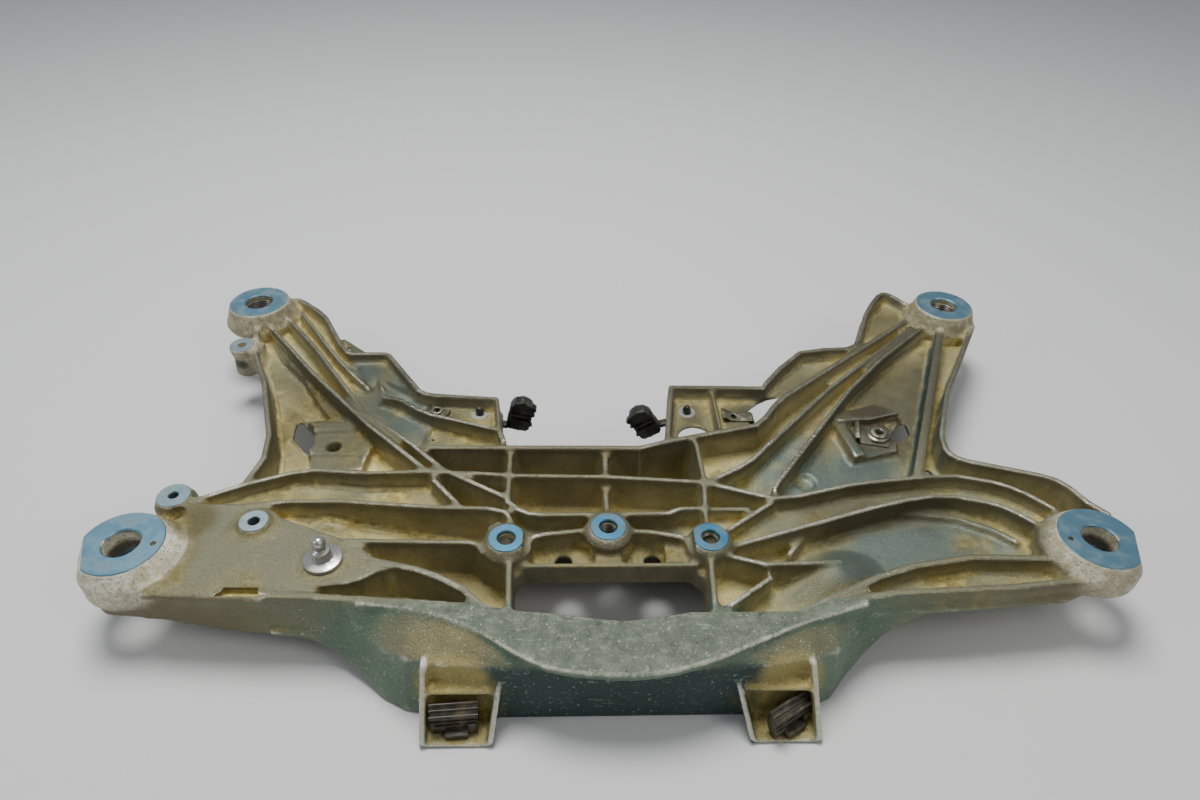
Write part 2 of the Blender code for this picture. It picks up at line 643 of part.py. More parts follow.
def right_rear_arm():
    rib("rear_right_rim", [(148, 166, 30), (160, 178, 32), (188, 214, 36), (273, 285, 48),
        (372, 366, 58)], 30, thick=RIM_THICK, sunk=0)
    rib("rear_right_rib_b", [(374, 352, 59), (299, 283, 53), (239, 227, 46), (190, 173, 41),
        (145, 124, 38), (121, 104, 34), (86, 83, 33)], 36)
    rib("rear_right_rib_c", [(386, 350, 58), (317, 286, 53), (263, 227), (205, 149), (155, 84),
        (149, 70, 46)], 52)
    rib("rear_right_rib_d", [(406, 342, 56), (374, 268, 50), (329, 168, 44), (291, 88, 42)], 44,
        thick=9.0)
    rib("rear_right_outer_rim", [(452, 356, 58), (442, 342, 56), (424, 312, 52), (398, 270, 48),
        (370, 222, 44), (346, 170, 40), (335, 138, 38), (342, 116, 38), (383, 102, 40),
        (427, 85, 48), (443, 55, 52), (456, 38, 52)], 45, thick=RIM_THICK, sunk=0)
    first = [
        (150, 166), (188, 214), (273, 285), (372, 366), (396, 378), (390, 352), (374, 352),
        (299, 283), (239, 227), (190, 173), (145, 124), (121, 104),
    ]
    floor_web("rear_right_floor_one", first, 46.0, slope=(0.0, 0.11), about=(0, 200))
    second = [
        (374, 352), (390, 350), (317, 286), (263, 227), (205, 149), (155, 84), (149, 70),
        (134, 66), (87, 84), (121, 104), (145, 124), (190, 173), (239, 227), (299, 283),
    ]
    floor_web("rear_right_floor_two", second, 57.0, slope=(0.0, 0.02), about=(0, 200))
    third = [
        (386, 350), (410, 342), (366, 247), (324, 163), (288, 89), (222, 79), (183, 68),
        (142, 63), (149, 70), (155, 84), (205, 149), (263, 227), (317, 286),
    ]
    floor_web("rear_right_floor_three", third, 54.5, slope=(0.0, 0.02), about=(0, 200))
    fourth = [
        (410, 342), (445, 345), (426, 312), (398, 270), (370, 222), (346, 170), (335, 138),
        (342, 116), (383, 102), (427, 85), (443, 55), (405, 47), (377, 76), (331, 91),
        (288, 89), (324, 163), (366, 247),
    ]
    floor_web("rear_right_floor_four", fourth, 47.0, slope=(0.0, 0.04), about=(0, 120))
    floor_web("channel_step", [(246, 262), (282, 292), (305, 311), (322, 304), (299, 283),
        (258, 245)], 63.0, thick=16.0)
    rib("rear_right_flange_rim", [(54, 142, 30), (60, 180), (66, 226), (71, 229), (161, 229),
        (171, 236), (223, 296), (280, 304), (300, 323), (325, 379), (353, 422), (368, 427),
        (384, 402, 58)], FLANGE_FOOT, thick=RIM_THICK, steps=2, sunk=0)
    flange = [
        (56, 142), (58, 180), (64, 229), (161, 229), (223, 296), (280, 304), (298, 325),
        (322, 379), (352, 425), (368, 428), (384, 404), (390, 375), (372, 366), (273, 285),
        (188, 214), (154, 170), (113, 156),
    ]
    floor_web("rear_right_flange", flange, SHALLOW_FLOOR)
    rib("rear_right_flange_rib", [(111, 228), (111, 156)], FLANGE_FOOT, top=74, thick=4.5)
    # The bracket seat under the nut, a stepped pad.
    seat = [(246, 183), (255, 135), (293, 147), (299, 173), (289, 191)]
    floor_web("nut_seat", seat, NUT_SEAT_HEIGHT, thick=9.0)
    floor_web("nut_seat_rear_step", [(241, 183), (275, 187), (311, 201), (293, 219), (255, 203)],
              69.0, slope=(0.0, -0.25), about=(0, 187), thick=16.0)
    floor_web("nut_seat_left_step", [(239, 185), (247, 185), (255, 137), (246, 133)], 65.0,
              thick=14.0)


def right_front_arm():
    rib("right_arm_rear_rib", [(84, 83, 34), (116, 73, 36), (147, 62, 38), (183, 68, 48),
        (222, 79, 48), (284, 88, 44), (331, 91, 42), (377, 76, 44), (408, 46, 48)], 48)
    rib("right_arm_curved_rib", [(84, 4, 40), (98, 4, 40), (163, 26, 42), (238, 50, 44),
        (286, 62, 46), (320, 63, 46), (359, 50, 46), (384, 26, 46)], 44)
    rib("right_fan_rib", [(97, 24), (145, 59)], 40, top=RIB_TOP - 2, thick=4.5)
    rib("right_cross_rib", [(80, -2), (97, -8), (124, -16), (158, -15), (193, -10, 44, 73)], 40)
    rib("bowl_front_rib", [(146, -66, 42), (189, -44, 44), (234, -24, 48), (292, -11, 52),
        (335, -10, 52), (388, -12, 52)], 50, thick=7.0)
    rib("pocket_curved_rib", [(73, -68), (105, -45), (129, -25, 40, 72)], 38, thick=4.5)
    rib("bowl_stub_rib", [(176, 34, 44, 66), (150, 4, 44, 66)], 44, thick=4.5)
    back = [
        (84, 39), (147, 62), (183, 68), (222, 79), (284, 88), (331, 91), (377, 76), (405, 47), (384, 26), (359, 50), (320, 63), (286, 62), (238, 50), (163, 26),
        (98, 4), (84, 4),
    ]
    floor_web("right_arm_floor_rear", back, 60.6)
    bowl = [
        (84, 4), (98, 4), (163, 26), (238, 50), (286, 62), (320, 63), (359, 50), (384, 26),
        (388, -12), (335, -10), (292, -11), (234, -24), (189, -44), (148, -66), (110, -70),
        (74, -70), (77, -8),
    ]
    floor_web("bowl_floor", bowl, 53.0, slope=(0.02, 0.06), about=(280, 20))
    front = [
        (148, -66), (189, -44), (234, -24), (292, -11), (335, -10), (388, -12), (396, -36),
        (381, -42), (331, -47), (279, -51), (227, -53), (190, -58),
    ]
    floor_web("front_pocket_floor", front, 60.0)
    rib("bowl_arc_lip", [(192, 34), (215, 50), (247, 57), (286, 56), (322, 52), (352, 36),
        (368, 22)], 50, top=59, thick=6.0)


def flat_side(side, place):
    """Cutters that take the outer front corner off a front boss, sloped above and upright below."""
    outward = math.copysign(1.0, place[0])
    angle = math.radians(FLAT_SIDE_ANGLE)
    normal = Vector((outward * math.cos(angle), -math.sin(angle)))
    along = Vector((-normal.y, normal.x))
    near = FLAT_SIDE_OFFSET
    far = FLAT_SIDE_OFFSET + 8.0
    shoulder = FACE_HEIGHT - SKIRT_DROP
    sections = {
        "slope": ((near - 0.4, FACE_HEIGHT + 0.6), (70, FACE_HEIGHT + 0.6), (70, shoulder),
                  (far, shoulder)),
        "side": ((far, shoulder + 0.2), (70, shoulder + 0.2), (70, 20), (far + 1.5, 20)),
    }
    for name, section in sections.items():
        rings = []
        for end in (-60.0, 60.0):
            ring = []
            for reach, height in section:
                spot_on_plan = Vector(place) + normal * reach + along * end
                ring.append((spot_on_plan.x, spot_on_plan.y, height))
            rings.append(ring)
        loft(f"front_{side}_flat_{name}", rings, home=CUTS)


def offset_boss(name, place, shift, rings, sides=30):
    """Boss of stacked circles; a ring is (radius, height, share of the shift inwards)."""
    shape = bmesh.new()
    rows = []
    for radius, height, share in rings:
        row = []
        for step in range(sides):
            turn = 2 * math.pi * step / sides
            x = place[0] + shift * share + radius * math.cos(turn)
            row.append(shape.verts.new((x, place[1] + radius * math.sin(turn), height)))
        rows.append(row)
    for upper, lower in zip(rows, rows[1:]):
        for step in range(sides):
            after = (step + 1) % sides
            shape.faces.new((upper[step], upper[after], lower[after], lower[step]))
    shape.faces.new(rows[0])
    shape.faces.new(reversed(rows[-1]))
    return new_object(name, close_mesh(shape, name), MEMBERS, helper=True)


def corner_bosses():
    shoulder = FACE_HEIGHT - SKIRT_DROP
    for side, place in FRONT_BOSSES.items():
        bottom = FACE_HEIGHT - FRONT_BOSS_THICK[side]
        inward = -math.copysign(1.0, place[0])
        rings = [
            (FACE_RADIUS - 0.8, FACE_HEIGHT, 0.0),
            (FACE_RADIUS, FACE_HEIGHT - 0.8, 0.0),
            (FRONT_SKIRT_RADIUS - 1.5, shoulder + 2.0, 1.0),
            (FRONT_SKIRT_RADIUS, shoulder - 1.5, 1.0),
            (FRONT_SKIRT_RADIUS, bottom + 4.0, 1.0),
            (FRONT_SKIRT_RADIUS - 4.0, bottom, 1.0),
        ]
        offset_boss(f"front_{side}_boss", place, inward * FRONT_SKIRT_SHIFT, rings)
        cylinder(f"front_{side}_bore", place, CORNER_BORE_RADIUS, 20, FACE_HEIGHT + 5)
        cylinder(f"front_{side}_counterbore", place, CORNER_BORE_RADIUS + 7, 20,
                 FACE_HEIGHT - FRONT_BORE_DEPTH)
        pin = (place[0] + inward * PIN_HOLE_OFFSET, place[1] - 1.0)
        cylinder(f"front_{side}_pin_hole", pin, PIN_HOLE_RADIUS, FACE_HEIGHT - 12,
                 FACE_HEIGHT + 5, sides=12)
        flat_side(side, place)
    bottom = FACE_HEIGHT - REAR_BOSS_THICK
    rings = [
        (FACE_RADIUS - 1.9, FACE_HEIGHT, 0.0),
        (FACE_RADIUS - 1.1, FACE_HEIGHT - 0.8, 0.0),
        (REAR_SKIRT_RADIUS - 2.0, shoulder - 4.0, 0.0),
        (REAR_SKIRT_RADIUS, shoulder - 6.0, 0.0),
        (REAR_SKIRT_RADIUS, shoulder - 9.5, 0.0),
        (REAR_SKIRT_RADIUS - 3.0, bottom, 0.0),
    ]
    for side, place in REAR_BOSSES.items():
        offset_boss(f"rear_{side}_boss", place, 0.0, rings)
        cylinder(f"rear_{side}_bore", place, CORNER_BORE_RADIUS + GAP, 40, FACE_HEIGHT + 5)


def centre_bosses():
    bottom = SHELF_FLOOR - FLOOR_THICK - 3.0
    middle = [
        (0.0, CENTRE_FACE_HEIGHT),
        (CENTRE_FACE_RADIUS, CENTRE_FACE_HEIGHT),
        (CENTRE_FACE_RADIUS + 3.0, CENTRE_FACE_HEIGHT - 2.5),
        (CENTRE_FACE_RADIUS + 6.0, CENTRE_FACE_HEIGHT - 7.0),
        (CENTRE_FACE_RADIUS + 5.0, CENTRE_FACE_HEIGHT - 12.0),
        (CENTRE_FACE_RADIUS, CENTRE_FACE_HEIGHT - 17.0),
        (CENTRE_FACE_RADIUS - 1.0, bottom),
        (0.0, bottom),
    ]
    side = [
        (0.0, CENTRE_FACE_HEIGHT),
        (CENTRE_FACE_RADIUS, CENTRE_FACE_HEIGHT),
        (CENTRE_FACE_RADIUS + 3.5, CENTRE_FACE_HEIGHT - 5.0),
        (CENTRE_FACE_RADIUS + 4.5, RIB_TOP - 6.0),
        (CENTRE_FACE_RADIUS + 3.0, 34.0),
        (0.0, 34.0),
    ]
    turned("middle_boss", middle, MIDDLE_BOSS, sides=24)
    box("middle_boss_stub", (MIDDLE_BOSS[0] - 12, -10, bottom + 3),
        (MIDDLE_BOSS[0] + 12, MIDDLE_BOSS[1], RIB_TOP - 9), home=MEMBERS)
    cylinder("middle_bore", MIDDLE_BOSS, CENTRE_BORE_RADIUS + GAP, 40, CENTRE_FACE_HEIGHT + 5)
    for tag, place in SIDE_BOSSES.items():
        turned(f"{tag}_side_boss", side, place, sides=24)
        cylinder(f"{tag}_side_bore", place, CENTRE_BORE_RADIUS + GAP, 20, CENTRE_FACE_HEIGHT + 5)
        toward = 1.0 if tag == "left" else -1.0
        edge = place[0] + toward * SIDE_BOSS_FLAT
        box(f"{tag}_side_flat", (min(edge, edge + toward * 8), place[1] - 26, RIB_TOP - 3),
            (max(edge, edge + toward * 8), place[1] + 14, CENTRE_FACE_HEIGHT + 5))


    mark = (SIDE_BOSSES["left"][0] - 11.8, SIDE_BOSSES["left"][1] + 18.5)
    box("raised_mark", (mark[0] - 7, mark[1] - 2, 30), (mark[0] + 7, mark[1] + 2, 80),
        home=MEMBERS, turn=math.radians(36), about=mark)


def small_bosses():
    turned("end_boss", [(0, RIB_TOP), (SMALL_BOSS_RADIUS, RIB_TOP),
           (SMALL_BOSS_RADIUS + 1.5, RIB_TOP - 3), (SMALL_BOSS_RADIUS + 1.5, 56), (0, 56)],
           END_BOSS, sides=20)
    cylinder("end_boss_hole", END_BOSS, SMALL_BORE_RADIUS, 50, RIB_TOP + 5, sides=14)
    turned("ear_boss", [(0, RIB_TOP), (SMALL_BOSS_RADIUS - 1, RIB_TOP),
           (SMALL_BOSS_RADIUS - 0.4, RIB_TOP - 3), (SMALL_BOSS_RADIUS - 3, 62),
           (SMALL_BOSS_RADIUS - 1, 44), (SMALL_BOSS_RADIUS - 4, 40), (0, 40)], EAR_BOSS, sides=16)
    box("ear_web", (EAR_BOSS[0], EAR_BOSS[1] - 12, 44), (EAR_BOSS[0] + 22, EAR_BOSS[1] + 12, 74),
        home=MEMBERS)
    cylinder("ear_boss_hole", EAR_BOSS, SMALL_BORE_RADIUS, 30, RIB_TOP + 5, sides=14)
    top = PLATE_TOP + 7.0
    turned("plate_boss", [(0, top), (PLATE_BOSS_RADIUS, top), (PLATE_BOSS_RADIUS + 0.8, top - 2),
           (PLATE_BOSS_RADIUS + 3, PLATE_TOP + 1.5), (PLATE_BOSS_RADIUS + 8, PLATE_TOP - 0.5),
           (PLATE_BOSS_RADIUS + 2, 56), (0, 56)], PLATE_BOSS, sides=20)
    cylinder("plate_boss_hole", PLATE_BOSS, SMALL_BORE_RADIUS + 0.6, 50, top + 5, sides=16)
    pad = PLATE_TOP + PAD_HEIGHT
    turned("stud_pad", [(0, pad), (STUD_FLANGE_RADIUS + 2, pad),
           (STUD_FLANGE_RADIUS + 5, PLATE_TOP - 0.5), (STUD_FLANGE_RADIUS, 60), (0, 60)],
           STUD_PLACE, sides=24)
    cylinder("stud_hole", STUD_PLACE, STUD_SHANK_RADIUS + GAP, 50, pad + 5, sides=16)


def casting_holes():
    # Through holes in the floors: weight and drain windows of the rear arms and flanges.
    holes = {
        "rear_left_arm_window": ([(-338, 212), (-334, 182), (-308, 152), (-313, 182)], 20, 72),
        "rear_right_arm_window": ([(320, 201), (318, 178), (290, 157), (299, 175)], 20, 72),
        "rear_right_corner_window": ([(325, 130), (327, 116), (314, 122)], 20, 72),
        "flange_window": ([(149, 207), (169, 226), (191, 234), (157, 188), (149, 186)], 50, 72),
    }
    for name, (outline, low, high) in holes.items():
        web = floor_web(name, outline, float(high), thick=float(high - low))
        MEMBERS.objects.unlink(web)
        CUTS.objects.link(web)
    cylinder("flange_arch", spot(86, 166), 17.0, 54, 66, sides=20)
    cylinder("bracket_seat_hole", spot(-286, 157), 7.5, 20, 80, sides=20)
    cylinder("rear_flange_pad_hole", spot(-283, 281), 6.5, 50, 70, sides=16)
    cylinder("left_clip_hole", LEFT_CLIP_HOLE, CLIP_PIN_RADIUS + GAP, 50, 70, sides=16)
    cylinder("right_clip_hole", RIGHT_CLIP_HOLE, CLIP_PIN_RADIUS + GAP, 50, 70, sides=16)
    cylinder("spring_nut_hole", REAR_RIGHT_NUT, 5.0, 50, 70, sides=16)
    cylinder("shelf_hole_left", (-49.5, 5), 7.5, 40, 62, sides=20)
    cylinder("shelf_hole_right", (29.4, 5), 7.5, 40, 62, sides=20)
    for side, place in (("left", LEFT_FOOT_HOLE), ("right", RIGHT_FOOT_HOLE)):
        cylinder(f"{side}_foot_hole", place, FOOT_HOLE_RADIUS, -5, 8, sides=20)
        cylinder(f"{side}_foot_recess", place, FOOT_RECESS_RADIUS,
                 FOOT_PLATE_THICK - FOOT_RECESS_DEPTH, 9, sides=16)
    cylinder("nut_seat_hole", BRACKET_NUT, CLIP_PIN_RADIUS + 2.0, 30, 72, sides=16)
    # Round pockets at the feet of the rear right channels.
    for name, place, level in (("one", (110, 121), GRID_FLOOR + 8), ("two", (131, 98), 55.0),
                               ("three", (190, 107), 52.6)):
        cylinder(f"round_pocket_{name}", spot(*place), 11.5, level - 3.5, level + 10, sides=16)
    cylinder("rear_left_nut_hole", REAR_LEFT_NUT, 5.0, 50, 70, sides=16)


def carrier_casting():
    front_beam()
    feet()
    rear_beam()
    left_front_arm()
    left_rear_arm()
    right_rear_arm()
    right_front_arm()
    corner_bosses()
    centre_bosses()
    small_bosses()
    casting_holes()
    base = MEMBERS.objects["rear_beam_floor"]
    MEMBERS.objects.unlink(base)
    PRODUCT.objects.link(base)
    base.name = "carrier_casting"
    base.hide_render = False
    base.display_type = "TEXTURED"
    join_all(base, MEMBERS)
    join_all(base, CUTS, "DIFFERENCE")
    settle(base, 2.0)
    base.data.materials.append(CAST)


def prism(name, outline, start, stop, home, along="Y", lean=0.0, turn=0.0, place=(0, 0, 0)):
    """Upright outline drawn through a width. Along Y it is (x, z) pairs, along X (y, z) pairs."""
    shape = bmesh.new()
    ends = []
    for reach in (start, stop):
        corners = []
        for across, height in outline:
            corner = (across, reach, height) if along == "Y" else (reach, across, height)
            corners.append(shape.verts.new(corner))
        ends.append(corners)
    count = len(outline)
    for corner in range(count):
        after = (corner + 1) % count
        shape.faces.new((ends[0][corner], ends[0][after], ends[1][after], ends[1][corner]))
    shape.faces.new(ends[0])
    shape.faces.new(reversed(ends[1]))
    moves = (
        Matrix.Translation(place) @ Matrix.Rotation(turn, 4, "Z") @ Matrix.Rotation(lean, 4, "Y")
    )
    bmesh.ops.transform(shape, matrix=moves, verts=shape.verts)
    return new_object(name, close_mesh(shape, name), home, helper=True)


def strip(path, thick):
    """Outline of a bent sheet that follows a path of (x, z) points."""
    one = []
    other = []
    for index, place in enumerate(path):
        out = sideways(path, index) * (thick / 2)
        one.append((place[0] + out.x, place[1] + out.y))
        other.append((place[0] - out.x, place[1] - out.y))
    return one + other[::-1]


def fused(name, look, build):
    """One product object from the helpers that build makes in two collections of its own."""
    members = collection(name + "_members")
    cuts = collection(name + "_cuts")
    base = build(members, cuts)
    members.objects.unlink(base)
    PRODUCT.objects.link(base)
    base.name = name
    base.hide_render = False
    base.display_type = "TEXTURED"
    if members.objects:
        join_all(base, members)
    if cuts.objects:
        join_all(base, cuts, "DIFFERENCE")
    base.data.materials.append(look)
    return base


def locating_stud():
    foot_height = PLATE_TOP + PAD_HEIGHT + GAP
    top = foot_height + STUD_HEIGHT
    profile = [
        (0, top),
        (STUD_RADIUS * 0.38, top - 0.3),
        (STUD_RADIUS * 0.66, top - 2.4),
        (STUD_RADIUS * 0.74, top - 6.0),
        (STUD_RADIUS * 0.66, top - 8.6),
        (STUD_RADIUS * 0.56, top - 10.0),
        (STUD_RADIUS * 0.56, top - 12.5),
        (STUD_RADIUS, top - 14.0),
        (STUD_RADIUS, foot_height + STUD_FLANGE_THICK + 1.0),
        (STUD_RADIUS + 1.0, foot_height + STUD_FLANGE_THICK),
        (STUD_FLANGE_RADIUS - 1.0, foot_height + STUD_FLANGE_THICK),
        (STUD_FLANGE_RADIUS, foot_height + STUD_FLANGE_THICK - 1.0),
        (STUD_FLANGE_RADIUS, foot_height),
        (STUD_SHANK_RADIUS, foot_height),
        (STUD_SHANK_RADIUS, foot_height - 14.0),
        (0, foot_height - 14.0),
    ]
    stud = turned("locating_stud", profile, STUD_PLACE, home=PRODUCT, sides=32, helper=False)
    stud.data.materials.append(STEEL)


def thread_insert(name, place, radius, top, length, turns):
    """Tube with ring-shaped threads inside it."""
    inner = radius - INSERT_WALL
    pitch = length / turns
    profile = [(inner, top), (radius, top), (radius, top - length), (inner, top - length)]
    for turn in range(turns, 0, -1):
        profile.append((inner, top - pitch * turn + 0.15 * pitch))
        profile.append((inner + INSERT_WALL * 0.45, top - pitch * turn + 0.5 * pitch))
        profile.append((inner, top - pitch * turn + 0.85 * pitch))
    profile.append((inner, top))
    made = turned(name, profile, place, home=PRODUCT, sides=20, helper=False)
    made.data.materials.append(THREAD)


def cable_clip(name, hole, offset, body_height, lean):
    """Plastic cable clip: a pin in the flange, an arm below the flange and a ring beside it."""
    body = (hole[0] + offset[0], hole[1] + offset[1])
    reach = CLIP_ARM_REACH
    under = FLANGE_FOOT - GAP
    toward = math.copysign(1.0, body[0] - hole[0])

    def build(members, cuts):
        pin = turned("pin", [(0, SHALLOW_FLOOR + 9.0), (2.2, SHALLOW_FLOOR + 8.5),
                     (4.6, SHALLOW_FLOOR + 4.0), (4.2, SHALLOW_FLOOR + 1.0),
                     (CLIP_PIN_RADIUS, SHALLOW_FLOOR + GAP), (CLIP_PIN_RADIUS, under - 2.0),
                     (0, under - 2.0)], hole, home=members, sides=16)
        cylinder("pin_base", hole, 8.0, under - 4.0, under, home=members, sides=20)
        link = (Vector(body[:2]) - Vector(hole)).normalized()
        side = Vector((-link.y, link.x)) * 4.0
        rings = []
        levels = ((0.0, under), (reach, under), (reach + 8.0, body_height - 8.0))
        for distance, height in levels:
            centre = Vector(hole) + link * distance
            rings.append(
                (
                    (centre.x + side.x, centre.y + side.y, height),
                    (centre.x - side.x, centre.y - side.y, height),
                    (centre.x - side.x, centre.y - side.y, height - 4.0),
                    (centre.x + side.x, centre.y + side.y, height - 4.0),
                )
            )
        loft("arm", rings, home=members)
        half = CABLE_RING_RADIUS * 0.65
        tall = CABLE_RING_RADIUS
        outer = [(-half, -tall + 3), (-half, tall * 0.5), (-half * 0.7, tall * 0.85), (0, tall),
                 (half * 0.7, tall * 0.85), (half, tall * 0.5), (half, -tall + 3),
                 (half - 3, -tall), (-half + 3, -tall)]
        wall = CABLE_RING_WALL
        window = [(-half + wall, 1.5), (-half + wall, tall * 0.45), (-half * 0.5, tall * 0.7),
                  (0, tall - wall), (half * 0.5, tall * 0.7), (half - wall, tall * 0.45),
                  (half - wall, 1.5)]
        lower = [(-half + wall, -tall + 3.5), (-half + wall, -1.5), (half - wall, -1.5),
                 (half - wall, -tall + 3.5)]
        wide = CABLE_RING_WIDTH / 2
        place = (*body, body_height)
        prism("ring", outer, -wide, wide, members, lean=lean, place=place)
        prism("ring_window", window, -wide - 2, wide + 2, cuts, lean=lean, place=place)
        prism("ring_pocket", lower, -wide - 2, wide + 2, cuts, lean=lean, place=place)
        lip = [(half - 1, tall * 0.2), (half + 3, tall * 0.55), (half - 1, tall * 0.65)]
        mirrored = [(toward * x, z) for x, z in lip]
        prism("ring_lip", mirrored, -wide + 1, wide - 1, members, lean=lean, place=place)
        return pin

    fused(name, BLACK, build)


def foot_clip(name, hole, turn):
    """Folded plastic clip that stands on the foot plate with a plug in its hole."""
    plate = FOOT_PLATE_THICK + GAP
    recess = plate - FOOT_RECESS_DEPTH
    place = (*hole, 0.0)
    left = -0.56 * CLIP_LENGTH
    right = 0.44 * CLIP_LENGTH
    top = plate + CLIP_HEIGHT

    def block(tag, low, high, members):
        made = box(tag, low, high, home=members, turn=turn, about=(0, 0))
        made.data.transform(Matrix.Translation((hole[0] * MM, hole[1] * MM, 0.0)))

    def build(members, cuts):
        hood = [(4, 9), (8, 17), (8.2, top - 3), (7.6, top), (6, top), (3.2, top - 3.4),
                (2.4, top - 4), (-1.6, top - 6.4), (-2.2, top - 7), (-2.2, 11)]
        body = prism("hood", hood, left, right, members, along="X", turn=turn, place=place)
        block("left_leg", (left + 1.0, -2.8, plate), (left + 12.0, 3.4, 14), members)
        block("right_leg", (right - 8.0, -5.0, plate), (right - 1.5, 5.0, 17), members)
        block("plug_base", (-8.2, -2.0, recess), (right - 5.0, 3.0, 13), members)
        block("tab", (-10.0, -8.5, recess), (8.0, -1.0, 9), members)
        cylinder("plug", hole, FOOT_HOLE_RADIUS - GAP, 0.4, 8, home=members, sides=20)
        slot = [(-9, 13.5), (1.5, 13.5), (1.5, 18.5), (-9, 18.5)]
        prism("slot", slot, left + 3, 2, cuts, along="X", turn=turn, place=place)
        return body

    fused(name, BROWN, build)


def bracket_nut():
    seat = NUT_SEAT_HEIGHT + GAP
    low = seat + SHEET + GAP
    ring = [
        (NUT_RADIUS * 0.5, low + NUT_THICK), (NUT_RADIUS - 1.0, low + NUT_THICK),
        (NUT_RADIUS, low + NUT_THICK - 1.0), (NUT_RADIUS, low + 3.0),
        (NUT_RADIUS + 2.5, low + 2.2), (NUT_RADIUS + 2.5, low), (NUT_RADIUS * 0.5, low),
        (NUT_RADIUS * 0.62, low + NUT_THICK * 0.25), (NUT_RADIUS * 0.5, low + NUT_THICK * 0.5),
        (NUT_RADIUS * 0.62, low + NUT_THICK * 0.75), (NUT_RADIUS * 0.5, low + NUT_THICK),
    ]
    nut = turned("right_bracket_nut", ring, BRACKET_NUT, home=PRODUCT, sides=28, helper=False)
    nut.data.materials.append(STEEL)

    def build(members, cuts):
        x, y = BRACKET_NUT
        path = [(-24, seat + 6), (-21, seat + 8), (-18.5, seat + 1), (-16, seat + 0.6),
                (11, seat + 0.6)]
        base = prism("sheet", strip(path, SHEET), -15, 11.5, members, turn=math.radians(-14),
                     place=(x, y, 0))
        cylinder("sheet_hole", BRACKET_NUT, NUT_RADIUS * 0.62, seat - 4, seat + 4, home=cuts,
                 sides=20)
        return base

    fused("nut_retainer", ZINC, build)


def spring_nuts():
    top = SHALLOW_FLOOR + GAP
    under = SHALLOW_FLOOR - FLOOR_THICK - GAP
    half = SHEET / 2

    def right(members, cuts):
        x, y = REAR_RIGHT_NUT
        path = [(-13, top + 6), (-9, top + 5.2), (-4, top + 1.6), (3, top + half),
                (19.5, top + half), (21.5, top - 1), (21.5, under + 1), (19.5, under - half),
                (-9, under - half)]
        base = prism("leaf", strip(path, SHEET), -7.5, 7.5, members, place=(x, y, 0))
        cylinder("leaf_hole", (x, y), 3.6, under - 6, top + 10, home=cuts, sides=16)
        return base

    def left(members, cuts):
        x, y = REAR_LEFT_NUT
        path = [(-12, top + 4), (-8, top + half), (9, top + half), (13, top + 2.5)]
        base = prism("leaf", strip(path, SHEET), -7, 7, members, place=(x, y, 0),
                     turn=math.radians(-20))
        cylinder("collar", (x, y), 6.0, top, top + 4.5, home=members, sides=20)
        cylinder("collar_hole", (x, y), 3.6, top - 4, top + 10, home=cuts, sides=16)
        return base

    fused("rear_right_spring_nut", ZINC, right)
    fused("rear_left_spring_nut", ZINC, left)


carrier_casting()
locating_stud()
for tag, centre in REAR_BOSSES.items():
    thread_insert(f"rear_{tag}_thread_insert", centre, CORNER_BORE_RADIUS, FACE_HEIGHT - 3.0, 18.0, 3)
thread_insert("left_boss_thread_insert", SIDE_BOSSES["left"], CENTRE_BORE_RADIUS,
              CENTRE_FACE_HEIGHT - 1.5, 15.0, 3)
thread_insert("centre_boss_thread_insert", MIDDLE_BOSS, CENTRE_BORE_RADIUS,
              CENTRE_FACE_HEIGHT - 1.5, 15.0, 3)
thread_insert("right_boss_thread_insert", SIDE_BOSSES["right"], CENTRE_BORE_RADIUS,
              CENTRE_FACE_HEIGHT - 1.5, 15.0, 3)
cable_clip("rear_left_cable_clip", LEFT_CLIP_HOLE, (44.6, -12.5), 73.0, math.radians(14))
cable_clip("rear_right_cable_clip", RIGHT_CLIP_HOLE, (-47.5, -15.0), 62.0, math.radians(-32))
foot_clip("front_left_foot_clip", LEFT_FOOT_HOLE, math.radians(4))
foot_clip("front_right_foot_clip", RIGHT_FOOT_HOLE, math.radians(30))
bracket_nut()
spring_nuts()
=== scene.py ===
import math

import bmesh
import bpy
from mathutils import Matrix, Vector
from mathutils.bvhtree import BVHTree


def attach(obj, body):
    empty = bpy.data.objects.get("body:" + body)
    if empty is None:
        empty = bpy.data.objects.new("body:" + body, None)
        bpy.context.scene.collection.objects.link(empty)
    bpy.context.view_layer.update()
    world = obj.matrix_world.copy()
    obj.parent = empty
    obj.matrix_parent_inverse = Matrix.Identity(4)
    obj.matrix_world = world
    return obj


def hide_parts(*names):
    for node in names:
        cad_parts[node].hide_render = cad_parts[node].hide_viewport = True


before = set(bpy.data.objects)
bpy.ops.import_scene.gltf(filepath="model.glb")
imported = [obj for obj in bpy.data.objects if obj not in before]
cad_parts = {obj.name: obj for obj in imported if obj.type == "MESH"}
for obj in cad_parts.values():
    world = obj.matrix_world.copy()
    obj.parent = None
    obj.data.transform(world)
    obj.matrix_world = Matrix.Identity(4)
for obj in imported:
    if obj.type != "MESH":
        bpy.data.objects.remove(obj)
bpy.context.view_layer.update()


# The carrier is one aluminium pressure die casting: webs and ribs of about 5 mm under round
# bosses, with fillets at every root. Its skin is grainy and khaki grey and golden where oil has
# dried. Its deep bays carry painted shade on their walls and a painted fill light, and its crests
# are pale where other parts have rubbed them, with a painted highlight on their edges.
MM = 0.001
PLAN_CENTRE = 147.95
WEB_GRID = 1.45 * MM
ROOT_FILLET = 2.2 * MM
SKIN_TRIANGLES = 192000
